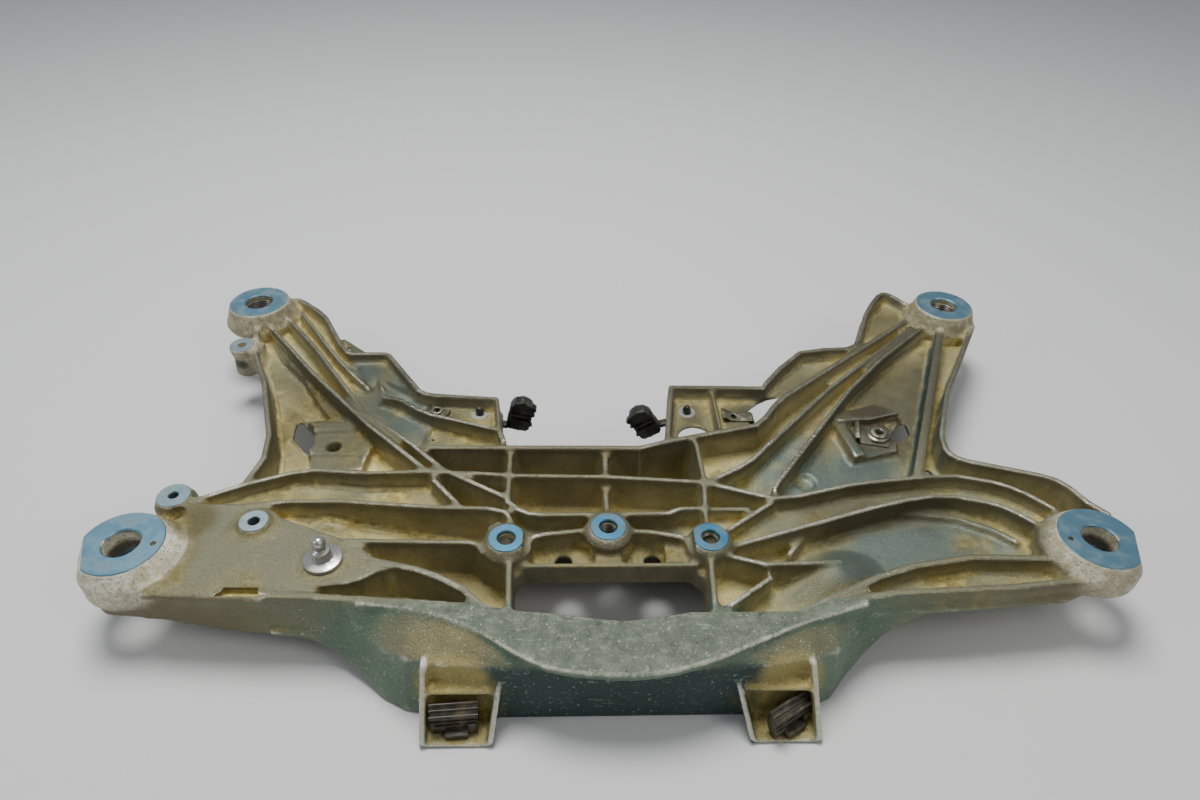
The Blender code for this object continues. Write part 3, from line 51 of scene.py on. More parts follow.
# Bosses on the drawn plan, mm.
CORNERS = {
    "front_left": (-420.0, 0.0), "front_right": (420.0, 0.0),
    "rear_left": (-420.0, 380.0), "rear_right": (420.0, 380.0),
}
ENGINE_BOSSES = {"left": (-99.0, 9.0), "middle": (-10.0, 21.5), "right": (79.0, 9.0)}
END_BOSS = (-406.0, 67.0)
EAR_BOSS = (-420.0, 306.0)
PLATE_BOSS = (-321.0, 30.0)
LEFT_PIN = (-140.6, 202.5)
RIGHT_PIN = (81.5, 205.0)
PIN_HOLE_INSET = 27.0


class Wire:
    """An output of a finish's node tree that can be reckoned with like a number."""

    def __init__(self, finish, output):
        self.finish = finish
        self.output = output

    def reckon(self, operation, first, second):
        return self.finish.node("ShaderNodeMath", {"operation": operation}, {0: first, 1: second})

    def __add__(self, other):
        return self.reckon("ADD", self, other)

    def __radd__(self, other):
        return self.reckon("ADD", other, self)

    def __sub__(self, other):
        return self.reckon("SUBTRACT", self, other)

    def __rsub__(self, other):
        return self.reckon("SUBTRACT", other, self)

    def __mul__(self, other):
        return self.reckon("MULTIPLY", self, other)

    def __rmul__(self, other):
        return self.reckon("MULTIPLY", other, self)

    def size(self):
        return self.reckon("ABSOLUTE", self, 0.0)

    def cap(self, most=1.0):
        return self.reckon("MINIMUM", self, most)


class Finish:
    """One finish: a material with its nodes, all reading the piece's own place in metres."""

    def __init__(self, name, roughness, metallic):
        self.material = bpy.data.materials.new(name)
        self.material.use_nodes = True
        self.tree = self.material.node_tree
        self.shader = self.tree.nodes["Principled BSDF"]
        self.shader.inputs["Roughness"].default_value = roughness
        self.shader.inputs["Metallic"].default_value = metallic
        self.place = self.node("ShaderNodeTexCoord", out="Object")

    def node(self, kind, settings=None, inputs=None, out=0):
        made = self.tree.nodes.new(kind)
        for name, value in (settings or {}).items():
            setattr(made, name, value)
        for name, value in (inputs or {}).items():
            self.feed(made.inputs[name], value)
        return Wire(self, made.outputs[out])

    def feed(self, socket, value):
        if isinstance(value, Wire):
            self.tree.links.new(value.output, socket)
        else:
            socket.default_value = value

    def set(self, name, value):
        self.feed(self.shader.inputs[name], value)

    def noise(self, scale, detail=3.0, roughness=0.55, place=None):
        return self.node(
            "ShaderNodeTexNoise",
            None,
            {
                "Vector": place or self.place,
                "Scale": scale,
                "Detail": detail,
                "Roughness": roughness,
            },
        )

    def step(self, value, low, high, start=0.0, stop=1.0):
        """Smooth step of a value from low to high."""
        return self.node(
            "ShaderNodeMapRange",
            {"interpolation_type": "SMOOTHSTEP"},
            {0: value, 1: low, 2: high, 3: start, 4: stop},
        )

    def mix(self, share, first, second):
        """Colour between two colours, each a wire or its red, green and blue."""
        first, second = (
            part if isinstance(part, Wire) else (*part, 1.0) for part in (first, second)
        )
        return self.node(
            "ShaderNodeMix", {"data_type": "RGBA"}, {0: share, 6: first, 7: second}, out=2
        )

    def parts(self, vector):
        """The three numbers of a vector."""
        first = self.node("ShaderNodeSeparateXYZ", None, {0: vector})
        outputs = first.output.node.outputs
        return first, Wire(self, outputs["Y"]), Wire(self, outputs["Z"])

    def near(self, spot, reach, soft=0.6):
        """1 at a place on the drawn plan (mm), falling to 0 at its reach."""
        x, y, z = spot
        centre = (x * MM, (y - PLAN_CENTRE) * MM, z * MM)
        away = self.node(
            "ShaderNodeVectorMath", {"operation": "DISTANCE"}, {0: self.place, 1: centre},
            out="Value",
        )
        return self.step(away, reach * MM * (1.0 - soft), reach * MM, 1.0, 0.0)

    def about(self, spots, soft=0.7):
        """Sum of near() over (x, y, z, reach) places, at most 1."""
        total = self.near(spots[0][:3], spots[0][3], soft)
        for spot in spots[1:]:
            total = total + self.near(spot[:3], spot[3], soft)
        return total.cap()

    def bump(self, height, distance, strength=1.0, under=None):
        inputs = {"Height": height, "Distance": distance, "Strength": strength}
        if under:
            inputs["Normal"] = under
        return self.node("ShaderNodeBump", None, inputs)


def settle_piece(piece, finish, slot_name, *nodes):
    """Gives a piece its finish and its body, and hides the solids that it stands for. Its slot name
    is not used.
    """
    piece.data.materials.clear()
    piece.data.materials.append(finish.material)
    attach(piece, "root")
    if nodes:
        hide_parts(*nodes)
    return piece


def merged_copy(node):
    """The mesh of a solid with its loose triangles joined up."""
    shape = bmesh.new()
    shape.from_mesh(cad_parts[node].data)
    bmesh.ops.remove_doubles(shape, verts=shape.verts, dist=0.00001)
    return shape


def new_piece(shape, name, sharp=None):
    mesh = bpy.data.meshes.new(name)
    for face in shape.faces:
        face.smooth = True
    shape.to_mesh(mesh)
    shape.free()
    if sharp:
        mesh.set_sharp_from_angle(angle=math.radians(sharp))
    piece = bpy.data.objects.new(name, mesh)
    bpy.context.scene.collection.objects.link(piece)
    return piece


def plan(x, y, z=0.0):
    """Place in metres of a place on the drawn plan in mm."""
    return Vector((x * MM, (y - PLAN_CENTRE) * MM, z * MM))


def only(parts, kind):
    """The parts of one kind among those that an operator has made."""
    return [part for part in parts if isinstance(part, kind)]


def slab(shape, outline, low, high, rise=0.0, about=0.0, soft=0.0):
    """Adds a closed block with an outline on the plan; its top may rise to the rear."""
    corners = [shape.verts.new(plan(x, y, low)) for x, y in outline]
    bottom = bmesh.ops.contextual_create(shape, geom=corners)["faces"]
    made = bmesh.ops.extrude_face_region(shape, geom=bottom)["geom"]
    for vert in only(made, bmesh.types.BMVert):
        back = vert.co.y / MM + PLAN_CENTRE
        vert.co.z = (high + rise * (back - about)) * MM
    if soft:
        bmesh.ops.bevel(
            shape, geom=only(made, bmesh.types.BMEdge), offset=soft * MM,
            offset_type="OFFSET", segments=4, profile=0.5,
            affect="EDGES", clamp_overlap=True, material=-1,
        )
    bmesh.ops.recalc_face_normals(shape, faces=shape.faces)


MOUND_STEPS = 12
MOUND_ROOT = -0.4


def mound(shape, x, y, z, wide, long, tall, turn=0.0):
    """Adds a low hill with a bell-shaped section, spun and then stretched."""
    others = set(shape.verts)
    line = []
    for step in range(MOUND_STEPS + 1):
        out = step / MOUND_STEPS
        line.append(shape.verts.new((out, 0.0, (1.0 + math.cos(math.pi * out)) / 2.0)))
    line.append(shape.verts.new((1.0, 0.0, MOUND_ROOT)))
    line.append(shape.verts.new((0.0, 0.0, MOUND_ROOT)))
    edges = [shape.edges.new(pair) for pair in zip(line, line[1:])]
    bmesh.ops.spin(
        shape, geom=line + edges, cent=(0, 0, 0), axis=(0, 0, 1), angle=math.tau, steps=36,
        use_merge=True,
    )
    hill = [vert for vert in shape.verts if vert not in others]
    bmesh.ops.remove_doubles(shape, verts=hill, dist=0.0001)
    hill = [vert for vert in hill if vert.is_valid]
    bmesh.ops.scale(shape, vec=(wide * MM, long * MM, tall * MM), verts=hill)
    bmesh.ops.rotate(
        shape, cent=(0, 0, 0), matrix=Matrix.Rotation(math.radians(turn), 3, "Z"), verts=hill
    )
    bmesh.ops.translate(shape, vec=plan(x, y, z), verts=hill)
    bmesh.ops.recalc_face_normals(shape, faces=shape.faces)


def flank(shape, start, stop, reach, low, high):
    """Adds a sloping flank beside a rib, to the left of the way from start to stop."""
    along = Vector((stop[0] - start[0], stop[1] - start[1]))
    side = Vector((-along.y, along.x)).normalized() * reach
    corners = [shape.verts.new(plan(start[0], start[1], high)),
               shape.verts.new(plan(start[0], start[1], low)),
               shape.verts.new(plan(start[0] + side.x, start[1] + side.y, low))]
    end = bmesh.ops.contextual_create(shape, geom=corners)["faces"]
    made = bmesh.ops.extrude_face_region(shape, geom=end)["geom"]
    bmesh.ops.translate(
        shape, vec=Vector((along.x * MM, along.y * MM, 0.0)),
        verts=only(made, bmesh.types.BMVert),
    )
    bmesh.ops.recalc_face_normals(shape, faces=shape.faces)


def ridge(shape, line, width, low, high):
    """Adds a closed low wall along a line on the plan."""
    for start, stop in zip(line, line[1:]):
        along = Vector((stop[0] - start[0], stop[1] - start[1]))
        side = Vector((-along.y, along.x)).normalized() * width / 2
        end = along.normalized() * width * 0.2
        slab(shape, [
            (start[0] - side.x - end.x, start[1] - side.y - end.y),
            (stop[0] - side.x + end.x, stop[1] - side.y + end.y),
            (stop[0] + side.x + end.x, stop[1] + side.y + end.y),
            (start[0] + side.x - end.x, start[1] + side.y - end.y),
        ], low, high)


# Heads of the grid's columns: place on the plan and height, mm.
FLARES = ((-104, 131, 73.5), (-8.5, 126.5, 72.0), (-9, 85.5, 66.5))


def cast_forms():
    """Low ledges, pads and lips of the casting that lie inside its pockets."""
    forms = bmesh.new()
    # Plateau beside the first rib of the rear left arm, over a hollow by the outer rim.
    slab(forms, [(-399, 340), (-378, 305), (-344, 266), (-322, 232), (-292, 190),
                 (-266, 182), (-330, 254), (-394, 342)], 38, 54, 0.07, 200, 6.0)
    # Ridges along the front and the back of the mount pad.
    ridge(forms, [(-303, 151.5), (-266, 146)], 3.0, 44, 55)
    ridge(forms, [(-305, 192), (-270, 185.5)], 3.0, 44, 55)
    # Swells in the floors of the long left pockets.
    mound(forms, -268, 50, 44, 46, 20, 15)
    mound(forms, -305, 91, 50, 44, 20, 13)
    # The floor of the right bowl swells up to the end of the shelf rib.
    mound(forms, 186, -18, 50, 62, 40, 22, 25)
    # The long rib of the rear right arm slopes on the side of the bracket.
    flank(forms, (302, 104), (398, 326), 10.0, 50, 74)
    # Ledge along the rim of the rear left flange and a ridge across the flange.
    slab(forms, [(-322, 324), (-303, 297), (-293, 286), (-258, 287), (-249, 276), (-224, 236),
                 (-207, 223), (-201, 229), (-241, 291), (-292, 303), (-316, 340)], 58, 67)
    ridge(forms, [(-258, 292), (-259, 262), (-250, 240)], 2.4, 60, 65.5)
    ridge(forms, [(-250, 240), (-247, 219)], 2.0, 60, 63.5)
    # Lips round the pockets of the right bowl and its back wall.
    ridge(forms, [(196, 37), (216, 49), (247, 56), (284, 56), (320, 51), (350, 36), (366, 22)],
          5.0, 50, 61)
    # Bead along the foot of the window wall and step on the shelf.
    ridge(forms, [(-84, 14), (-62, 18), (-30, 21)], 5.0, 54, 61)
    ridge(forms, [(10, 21), (40, 17)], 5.0, 54, 61)
    # Collars at the roots of the plate boss, the end boss and both side bosses.
    for (x, y), reach, low, high in (
        (PLATE_BOSS, 21, 72, 78.2), (END_BOSS, 19, 58, 70),
        (ENGINE_BOSSES["left"], 22, 62, 76), (ENGINE_BOSSES["right"], 21, 62, 74),
    ):
        slab(forms, [(x + reach * math.cos(turn), y + reach * math.sin(turn))
                     for turn in (step * math.tau / 24 for step in range(24))], low, high)
    # The grid's columns flare where they meet the rows.
    for x, y, top in FLARES:
        slab(forms, [(x - 7.0, y + 3.0), (x, y - 7.0), (x + 7.0, y + 3.0)], top - 14.0, top)
    return forms


# The notch in the stud plate, and drilled holes: place on the plan, radius, bottom and top, mm.
NOTCH = [(-332, -45.5), (-295, -46), (-299, -36.5), (-327, -36)]
DRILLED = (
    (*END_BOSS, 4.6, 50, 84), (*EAR_BOSS, 4.6, 30, 84), (*PLATE_BOSS, 5.2, 50, 90),
    (*LEFT_PIN, 3.5, 50, 70), (*RIGHT_PIN, 3.5, 50, 70), (131, 196, 5.0, 50, 70),
    (-186, 203, 5.0, 50, 70), (279.3, 166, 5.2, 45, 72),
    (CORNERS["front_left"][0] + PIN_HOLE_INSET, -1, 2.4, 78, 96),
    (CORNERS["front_right"][0] - PIN_HOLE_INSET, -1, 2.4, 78, 96), (-185.6, 165, 1.6, 53, 62),
)


def keep_modifiers(piece):
    """Applies a piece's modifiers to its mesh."""
    bpy.context.view_layer.update()
    graph = bpy.context.evaluated_depsgraph_get()
    mesh = bpy.data.meshes.new_from_object(piece.evaluated_get(graph))
    piece.modifiers.clear()
    piece.data = mesh
    return piece


def drilled(piece, places, pocket=None):
    """Cuts small holes and a pocket, which the regridding would close."""
    holes = bmesh.new()
    for x, y, radius, low, high in places:
        bmesh.ops.create_cone(
            holes, cap_ends=True, segments=28, radius1=radius * MM, radius2=radius * MM,
            depth=(high - low) * MM, matrix=Matrix.Translation(plan(x, y, (low + high) / 2)),
        )
    if pocket:
        slab(holes, pocket, 69, 88)
    mesh = bpy.data.meshes.new("drills")
    holes.to_mesh(mesh)
    holes.free()
    drills = bpy.data.objects.new("drills", mesh)
    bpy.context.scene.collection.objects.link(drills)
    cut = piece.modifiers.new("drill", "BOOLEAN")
    cut.operation = "DIFFERENCE"
    cut.solver = "FAST"
    cut.object = drills
    keep_modifiers(piece)
    bpy.data.objects.remove(drills)


# Rays for the share of the sky that walls hide: an even fan about the upright axis.
RAYS = 12
GOLDEN_ANGLE = 2.399963
CLOSE_REACH = 12.0 * MM
FAR_REACH = 60.0 * MM
RAY_LIFT = 0.4 * MM
FAN = [
    Vector((
        math.cos(turn * GOLDEN_ANGLE) * math.sqrt(1.0 - rise * rise),
        math.sin(turn * GOLDEN_ANGLE) * math.sqrt(1.0 - rise * rise),
        rise,
    ))
    for turn, rise in ((step, 1.0 - (step + 0.5) / RAYS * 0.9) for step in range(RAYS))
]


def mark_shelter(piece):
    """Notes for each vertex how sharply it stands out and how far other walls hide its view."""
    mesh = piece.data
    shape = bmesh.new()
    shape.from_mesh(mesh)
    shape.normal_update()
    stand_out = []
    for vert in shape.verts:
        spans = [edge.other_vert(vert).co - vert.co for edge in vert.link_edges]
        lean = sum(-span.normalized().dot(vert.normal) for span in spans if span.length > 0.0)
        stand_out.append(lean / max(1, len(spans)))
    even = []
    for vert in shape.verts:
        around = [stand_out[edge.other_vert(vert).index] for edge in vert.link_edges]
        even.append(0.4 * stand_out[vert.index] + 0.6 * sum(around) / max(1, len(around)))
    shape.free()
    tree = BVHTree.FromPolygons(
        [vert.co for vert in mesh.vertices], [face.vertices for face in mesh.polygons]
    )
    close = []
    far = []
    for vert in mesh.vertices:
        turned = vert.normal.to_track_quat("Z", "X").to_matrix()
        start = vert.co + vert.normal * RAY_LIFT
        hits = [tree.ray_cast(start, turned @ ray, FAR_REACH)[3] for ray in FAN]
        hits = [away for away in hits if away is not None]
        close.append(sum(1.0 for away in hits if away < CLOSE_REACH) / RAYS)
        far.append(len(hits) / RAYS)
    marks = {"close_walls": close, "far_walls": far, "stands_out": even}
    for name, values in marks.items():
        mesh.attributes.new(name, "FLOAT", "POINT").data.foreach_set("value", values)


def cast_skin(node, name):
    """Skin of the solid with rounded roots: it is swollen, regridded and shrunk back."""
    whole = merged_copy(node)
    forms = cast_forms()
    spare = bpy.data.meshes.new("forms")
    forms.to_mesh(spare)
    forms.free()
    whole.from_mesh(spare)
    bpy.data.meshes.remove(spare)
    skin = new_piece(whole, name)
    for swell in (0.0, ROOT_FILLET, -ROOT_FILLET):
        if swell:
            move = skin.modifiers.new("swell", "DISPLACE")
            move.strength = swell
            move.mid_level = 0.0
        grid = skin.modifiers.new("grid", "REMESH")
        grid.mode = "VOXEL"
        grid.voxel_size = WEB_GRID
        grid.use_smooth_shade = True
    calm = skin.modifiers.new("calm", "SMOOTH")
    calm.factor = 0.5
    calm.iterations = 1
    keep_modifiers(skin)
    thin = skin.modifiers.new("thin", "DECIMATE")
    thin.ratio = min(1.0, SKIN_TRIANGLES / (2.0 * len(skin.data.polygons)))
    keep_modifiers(skin)
    drilled(skin, DRILLED, NOTCH)
    for face in skin.data.polygons:
        face.use_smooth = True
    skin.data.set_sharp_from_angle(angle=math.radians(62))
    mark_shelter(skin)
    return skin


# Dried oil on the floors, plate and feet: place on the plan, height and reach, mm.
OIL_STAINS = (
    (-133, -118, 20, 55), (130, -118, 20, 55), (-99, 16, 74, 36), (-321, 30, 78, 30),
    (-252, -10, 78, 32), (-242, 48, 54, 40), (-205, 78, 58, 42), (-300, 75, 58, 40),
    (-190, 30, 45, 40), (-45, 8, 56, 34), (30, 8, 58, 36), (110, 20, 52, 40),
    (-258, 160, 48, 40), (-330, 195, 50, 50), (-310, 240, 55, 46), (-380, -26, 77, 30),
    (-316, -38, 76, 30), (-398, 34, 77, 26), (330, 20, 58, 30), (190, 40, 56, 34),
    (290, -30, 60, 44), (-228, 214, 64, 26), (-150, 172, 60, 32), (115, 118, 44, 30),
    (205, 200, 56, 30),
)
# Smooth floors with a painted bluish reflection: right bowl, rear right arm and rear left flange,
# given the same way.
BLUE_REFLECTION_FLOORS = (
    (205, -8, 62, 44), (225, 8, 57, 50), (262, 18, 57, 50), (300, 24, 57, 46), (335, 24, 57, 36),
    (215, 112, 56, 54), (262, 122, 56, 52), (180, 92, 56, 44), (185, 148, 60, 34),
    (165, 125, 60, 34), (-232, 220, 62, 44), (-275, 274, 66, 36), (-212, 186, 62, 40),
    (-222, 262, 66, 30),
)


class CastFinish(Finish):
    """The casting's finish: each method lays more colours over those that are there."""

    def __init__(self):
        super().__init__("die_cast_aluminium", 0.6, 0.3)
        self.across, self.depth, self.height = self.parts(self.place)
        facing = self.node("ShaderNodeNewGeometry", out="Normal")
        self.side_lean, _, self.up_lean = self.parts(facing)
        self.broad = self.noise(9.0, 4.0)
        self.patch = self.noise(38.0, 5.0, 0.6)
        self.blotch = self.noise(110.0, 4.0, 0.65)
        self.grain = self.noise(420.0, 3.0, 0.7)
        self.sand = self.noise(620.0, 3.0, 0.8)
        self.close = self.mark("close_walls")
        self.far = self.mark("far_walls")
        self.edge = self.mark("stands_out")
        self.upward = self.step(self.up_lean, 0.55, 0.92)
        self.steep = self.step(self.up_lean.size(), 0.8, 0.35)
        self.inside = self.step(self.depth, -0.206, -0.190)
        self.outside = 1.0 - self.inside

    def mark(self, name):
        """A number that mark_shelter has noted for each vertex."""
        return self.node("ShaderNodeAttribute", {"attribute_name": name}, out="Fac")

    def lay(self, share, colour):
        self.colour = self.mix(share, self.colour, colour)

    def ground(self):
        """Khaki floors with greyer patches, and browner walls; the low floors are golden and lifted
        by a painted fill light, and painted shade darkens the walls low down and just under the
        crests.
        """
        grey = self.step(self.broad, 0.40, 0.60)
        floors = self.mix(grey, (0.235, 0.205, 0.095), (0.19, 0.19, 0.115))
        floors = self.mix(self.step(self.patch, 0.42, 0.7) * 0.6, floors, (0.13, 0.122, 0.066))
        # Low floors: a golden tone with a painted fill light that lifts them out of their shade.
        floors = self.mix(self.step(self.height, 0.056, 0.040) * 0.6, floors, (0.44, 0.37, 0.15))
        pale = self.step(self.patch, 0.35, 0.65)
        walls = self.mix(pale, (0.185, 0.165, 0.085), (0.235, 0.215, 0.130))
        # Painted shade: the bay walls are darker low down and just under the crests.
        walls = self.mix(self.step(self.height, 0.070, 0.050) * 0.5, walls, (0.15, 0.135, 0.078))
        shade_under_crest = self.step(self.height, 0.066, 0.0745) * 0.5
        walls = self.mix(shade_under_crest, walls, (0.115, 0.105, 0.062))
        # The walls of both rear arms are paler and sandy.
        walls = self.mix(self.step(self.depth, 0.0, 0.06) * 0.65, walls, (0.30, 0.28, 0.19))
        self.colour = self.mix(self.steep * self.inside, floors, walls)

    def front_wall(self):
        """Greenish outside walls whose tint is a painted reflection, golden over the feet where
        dried oil meets a painted fill light, and nearly black between them with painted shade under
        the lip.
        """
        outer = self.outside * self.step(self.up_lean, 0.85, 0.5)
        light = self.step(self.broad, 0.4, 0.62)
        # Teal tint of the outside walls: a painted reflection.
        teal_reflection = self.mix(light, (0.115, 0.175, 0.122), (0.15, 0.215, 0.150))
        teal_reflection = self.mix(self.step(self.patch, 0.5, 0.72) * 0.5, teal_reflection, (0.23, 0.25, 0.18))
        self.lay(outer, teal_reflection)
        # Golden over the feet: dried oil, with a painted fill light that lifts the shade inside
        # them.
        feet = self.about([(-133, -112, 34, 42), (130, -112, 34, 42)], 0.35)
        self.lay(feet * 0.85, (0.43, 0.35, 0.115))
        # Painted shade: nearly black low down between the feet, under the overhanging lip.
        middle = self.step(self.across.size(), 0.115, 0.100)
        low = self.step(self.height, 0.069, 0.060)
        self.lay(outer * middle * low * 0.9, (0.022, 0.050, 0.048))

    def saddle_and_plate(self):
        """Grey pitted saddle over the beam, and the paler plate that carries the stud."""
        top = self.upward * self.step(self.height, 0.074, 0.0765)
        self.saddle = self.step(self.depth, -0.195, -0.204) * top
        light = self.step(self.blotch, 0.42, 0.66)
        grey = self.mix(light, (0.108, 0.138, 0.098), (0.172, 0.202, 0.148))
        grey = self.mix(self.step(self.blotch, 0.40, 0.30), grey, (0.07, 0.075, 0.05))
        self.lay(self.saddle, grey)
        plate = self.about([(-370, 5, 77, 62), (-310, 0, 77, 55), (-262, -14, 77, 45)], 0.3)
        self.plate = plate * self.upward * self.step(self.height, 0.071, 0.074)
        self.lay(self.plate * 0.8, (0.185, 0.19, 0.125))

    def skirts(self):
        """Rough pale skirts of the corner and ear bosses, the front left one nearly white."""
        self.skirt = self.about([
            (-420, 0, 80, 58), (424, -4, 80, 54), (-420, 380, 80, 54), (420, 380, 80, 54),
            (-420, 306, 66, 30),
        ], 0.25)
        front = self.step(self.depth, 0.0, -0.05) * self.step(self.across, 0.34, 0.38, 1.0, 0.45)
        shade = self.mix(front, (0.30, 0.26, 0.145), (0.60, 0.55, 0.38))
        light = self.mix(front, (0.46, 0.42, 0.28), (0.88, 0.84, 0.68))
        pale = self.mix(self.step(self.blotch, 0.4, 0.62), shade, light)
        pale = self.mix(self.step(self.grain, 0.55, 0.68) * 0.5, pale, (0.17, 0.15, 0.09))
        self.lay(self.skirt * 0.85 * self.step(self.height, 0.045, 0.062), pale)

    def blue_reflection_floors(self):
        """Smooth floors, and a flank on the long rib of the rear right arm, given a painted bluish
        reflection.
        """
        self.smooth = self.about(BLUE_REFLECTION_FLOORS, 0.8) * self.step(self.up_lean, 0.4, 0.85)
        light = self.step(self.patch, 0.35, 0.7)
        # Bluish tint of the smooth floors: a painted reflection.
        blue_reflection = self.mix(light, (0.085, 0.135, 0.130), (0.125, 0.165, 0.140))
        self.lay(self.smooth * 0.8, blue_reflection)
        # Painted dark bluish reflection on the left-facing side of the long rib.
        flank = self.about([(396, 318, 66, 30), (375, 272, 66, 30), (352, 222, 64, 30),
                            (330, 172, 64, 30), (308, 124, 64, 30)], 0.3)
        self.lay(flank * self.step(self.side_lean, -0.45, -0.8), (0.07, 0.105, 0.10))

    def oil(self):
        """Golden dried oil in the corners and in places on the floors, a ring of stain and painted
        shade round the front left boss, and brown films.
        """
        # A ring of golden stain with painted shade round the foot of the front left boss, and the
        # end of the plate behind it.
        boss = (*CORNERS["front_left"], 77)
        ring = self.near(boss, 66, 0.28) * (1.0 - self.near(boss, 50, 0.08))
        self.lay(ring * self.upward * 0.8, (0.135, 0.108, 0.030))
        behind = self.about([(-380, 38, 77, 30), (-402, 48, 77, 22)], 0.5)
        self.lay(behind * 0.75, (0.105, 0.085, 0.026))
        stain = self.about(OIL_STAINS) * self.step(self.patch + self.blotch * 0.4, 0.50, 0.82)
        gather = self.step(self.close + (self.patch - 0.5) * 0.5, 0.12, 0.5)
        gather = gather * self.step(self.up_lean, -0.3, 0.2)
        light = self.step(self.blotch, 0.4, 0.65)
        gold = self.mix(light, (0.20, 0.155, 0.035), (0.38, 0.31, 0.11))
        share = (stain * 0.6 + gather * 0.6).cap(0.9)
        self.lay(share * self.step(self.up_lean, -0.2, 0.3), gold)
        # Brown films round the bracket seat and at the back of the bowl.
        film = self.near((285, 172, 60), 58, 0.7) * self.step(self.patch, 0.30, 0.62)
        self.lay(film * 0.85, (0.100, 0.078, 0.040))
        back = self.about([(200, 50, 60, 36), (245, 64, 62, 40), (290, 62, 62, 36)], 0.6)
        self.lay(back * 0.6, (0.085, 0.075, 0.040))
        # A rust spot in the bay beside the middle boss.
        rust = self.about([(-38, 48, 44, 13), (-52, 48, 44, 9)], 0.5)
        self.lay(rust * self.step(self.grain, 0.40, 0.56) * 0.85, (0.42, 0.15, 0.025))

    def wear(self):
        """Greyer crests, edges rubbed to bright metal with a painted highlight, scuffs, nicks,
        specks, painted shade in the bores and painted glints.
        """
        crest = self.step(self.height, 0.0735, 0.0765) * self.upward
        self.crest = crest * (1.0 - self.saddle) * (1.0 - self.plate) * (1.0 - self.skirt)
        self.lay(self.crest * 0.75, (0.20, 0.195, 0.125))
        # Bright edges: metal rubbed bare, with a painted highlight where the edges face up.
        rub = self.edge + (self.grain - 0.5) * 0.18 + self.outside * 0.04
        self.worn_and_highlit = self.step(rub, 0.06, 0.19) * self.step(self.up_lean, -0.1, 0.35)
        self.lay(self.worn_and_highlit * (0.92 - self.inside * 0.2), (0.74, 0.72, 0.60))
        stretched = self.node(
            "ShaderNodeVectorMath", {"operation": "MULTIPLY"}, {0: self.place, 1: (0.3, 1.0, 1.4)}
        )
        scuff = self.step(self.noise(150.0, 4.0, 0.7, stretched), 0.60, 0.70)
        self.lay(scuff * self.outside * 0.45, (0.40, 0.42, 0.36))
        nick = self.step(self.noise(170.0, 2.0, 0.8), 0.67, 0.73) * self.step(self.patch, 0.42, 0.6)
        self.lay(nick * 0.7 * (1.0 - self.inside * 0.6), (0.55, 0.53, 0.45))
        chip = self.step(self.noise(330.0, 2.0, 0.8), 0.63, 0.69)
        self.lay(chip * self.outside * 0.6, (0.52, 0.54, 0.45))
        self.lay(self.step(self.grain, 0.56, 0.66) * 0.45, (0.06, 0.052, 0.03))
        # Painted shade: near-black inside the bores.
        bores = self.about(
            [(x, y, 66, 15) for x, y in ENGINE_BOSSES.values()]
            + [(*CORNERS[f"front_{side}"], 52, 33) for side in ("left", "right")]
            + [(*CORNERS[f"rear_{side}"], 52, 30) for side in ("left", "right")]
            + [(*END_BOSS, 58, 15), (*EAR_BOSS, 58, 15), (*PLATE_BOSS, 64, 15)], 0.2,
        )
        self.lay(bores * 0.9, (0.018, 0.018, 0.014))
        # Painted glints: small bright specks on faces that look up.
        glint = self.step(self.noise(800.0, 2.0, 0.7), 0.62, 0.72) * 0.4 * self.upward
        self.lay(glint, (0.55, 0.52, 0.40))

    def tone(self):
        """Sandy grain, a painted fill light that lightens the deep pockets, and duller open floors
        at the rear.
        """
        less_fill_light = self.about([(-60, 24, 58, 60), (30, 24, 58, 60), (-54, 76, 58, 44),
                          (-138, -20, 52, 60)])
        left = self.step(self.across, -0.16, -0.24) * self.step(self.depth, 0.02, -0.02) * 0.5
        # Painted fill light, held in dust: lighter the more the walls hide the sky, less so at the
        # listed places and more at the left rear.
        dust = self.step(self.far, 0.35, 0.85) * (0.95 - less_fill_light * 0.75 + left)
        open_floor = (1.0 - self.step(self.far, 0.3, 0.7)) * (1.0 - self.skirt)
        rear = self.step(self.depth, -0.07, 0.05) * open_floor * 0.42
        tone = (0.74 + self.sand * 0.40 + dust) * (1.0 - rear)
        self.colour = self.node(
            "ShaderNodeVectorMath", {"operation": "SCALE"}, {0: self.colour, "Scale": tone}
        )

    def surface(self):
        """Joins the colour, the gloss and the bumps to the shader."""
        self.set("Base Color", self.colour)
        gloss = self.worn_and_highlit * 0.20 + self.smooth * 0.12 + self.crest * 0.08
        self.set("Roughness", 0.52 - gloss + self.far * 0.10)
        self.set("Metallic", 0.50 + self.worn_and_highlit * 0.3 + self.crest * 0.15 - self.skirt * 0.25)
        rough = self.bump((self.grain + self.sand) * (1.0 - self.smooth * 0.7), 0.0009, 0.8)
        rough = self.bump(self.noise(1500.0, 2.0, 0.6), 0.0002, 0.5, rough)
        self.set("Normal", self.bump(self.patch, 0.0014, 0.35, rough))


casting_finish = CastFinish()
casting_finish.ground()
casting_finish.front_wall()
casting_finish.saddle_and_plate()
casting_finish.skirts()
casting_finish.blue_reflection_floors()
casting_finish.oil()
casting_finish.wear()
casting_finish.tone()
casting_finish.surface()
settle_piece(
    cast_skin("carrier_casting", "casting_skin"), casting_finish, "cast_aluminium",
    "carrier_casting",
)


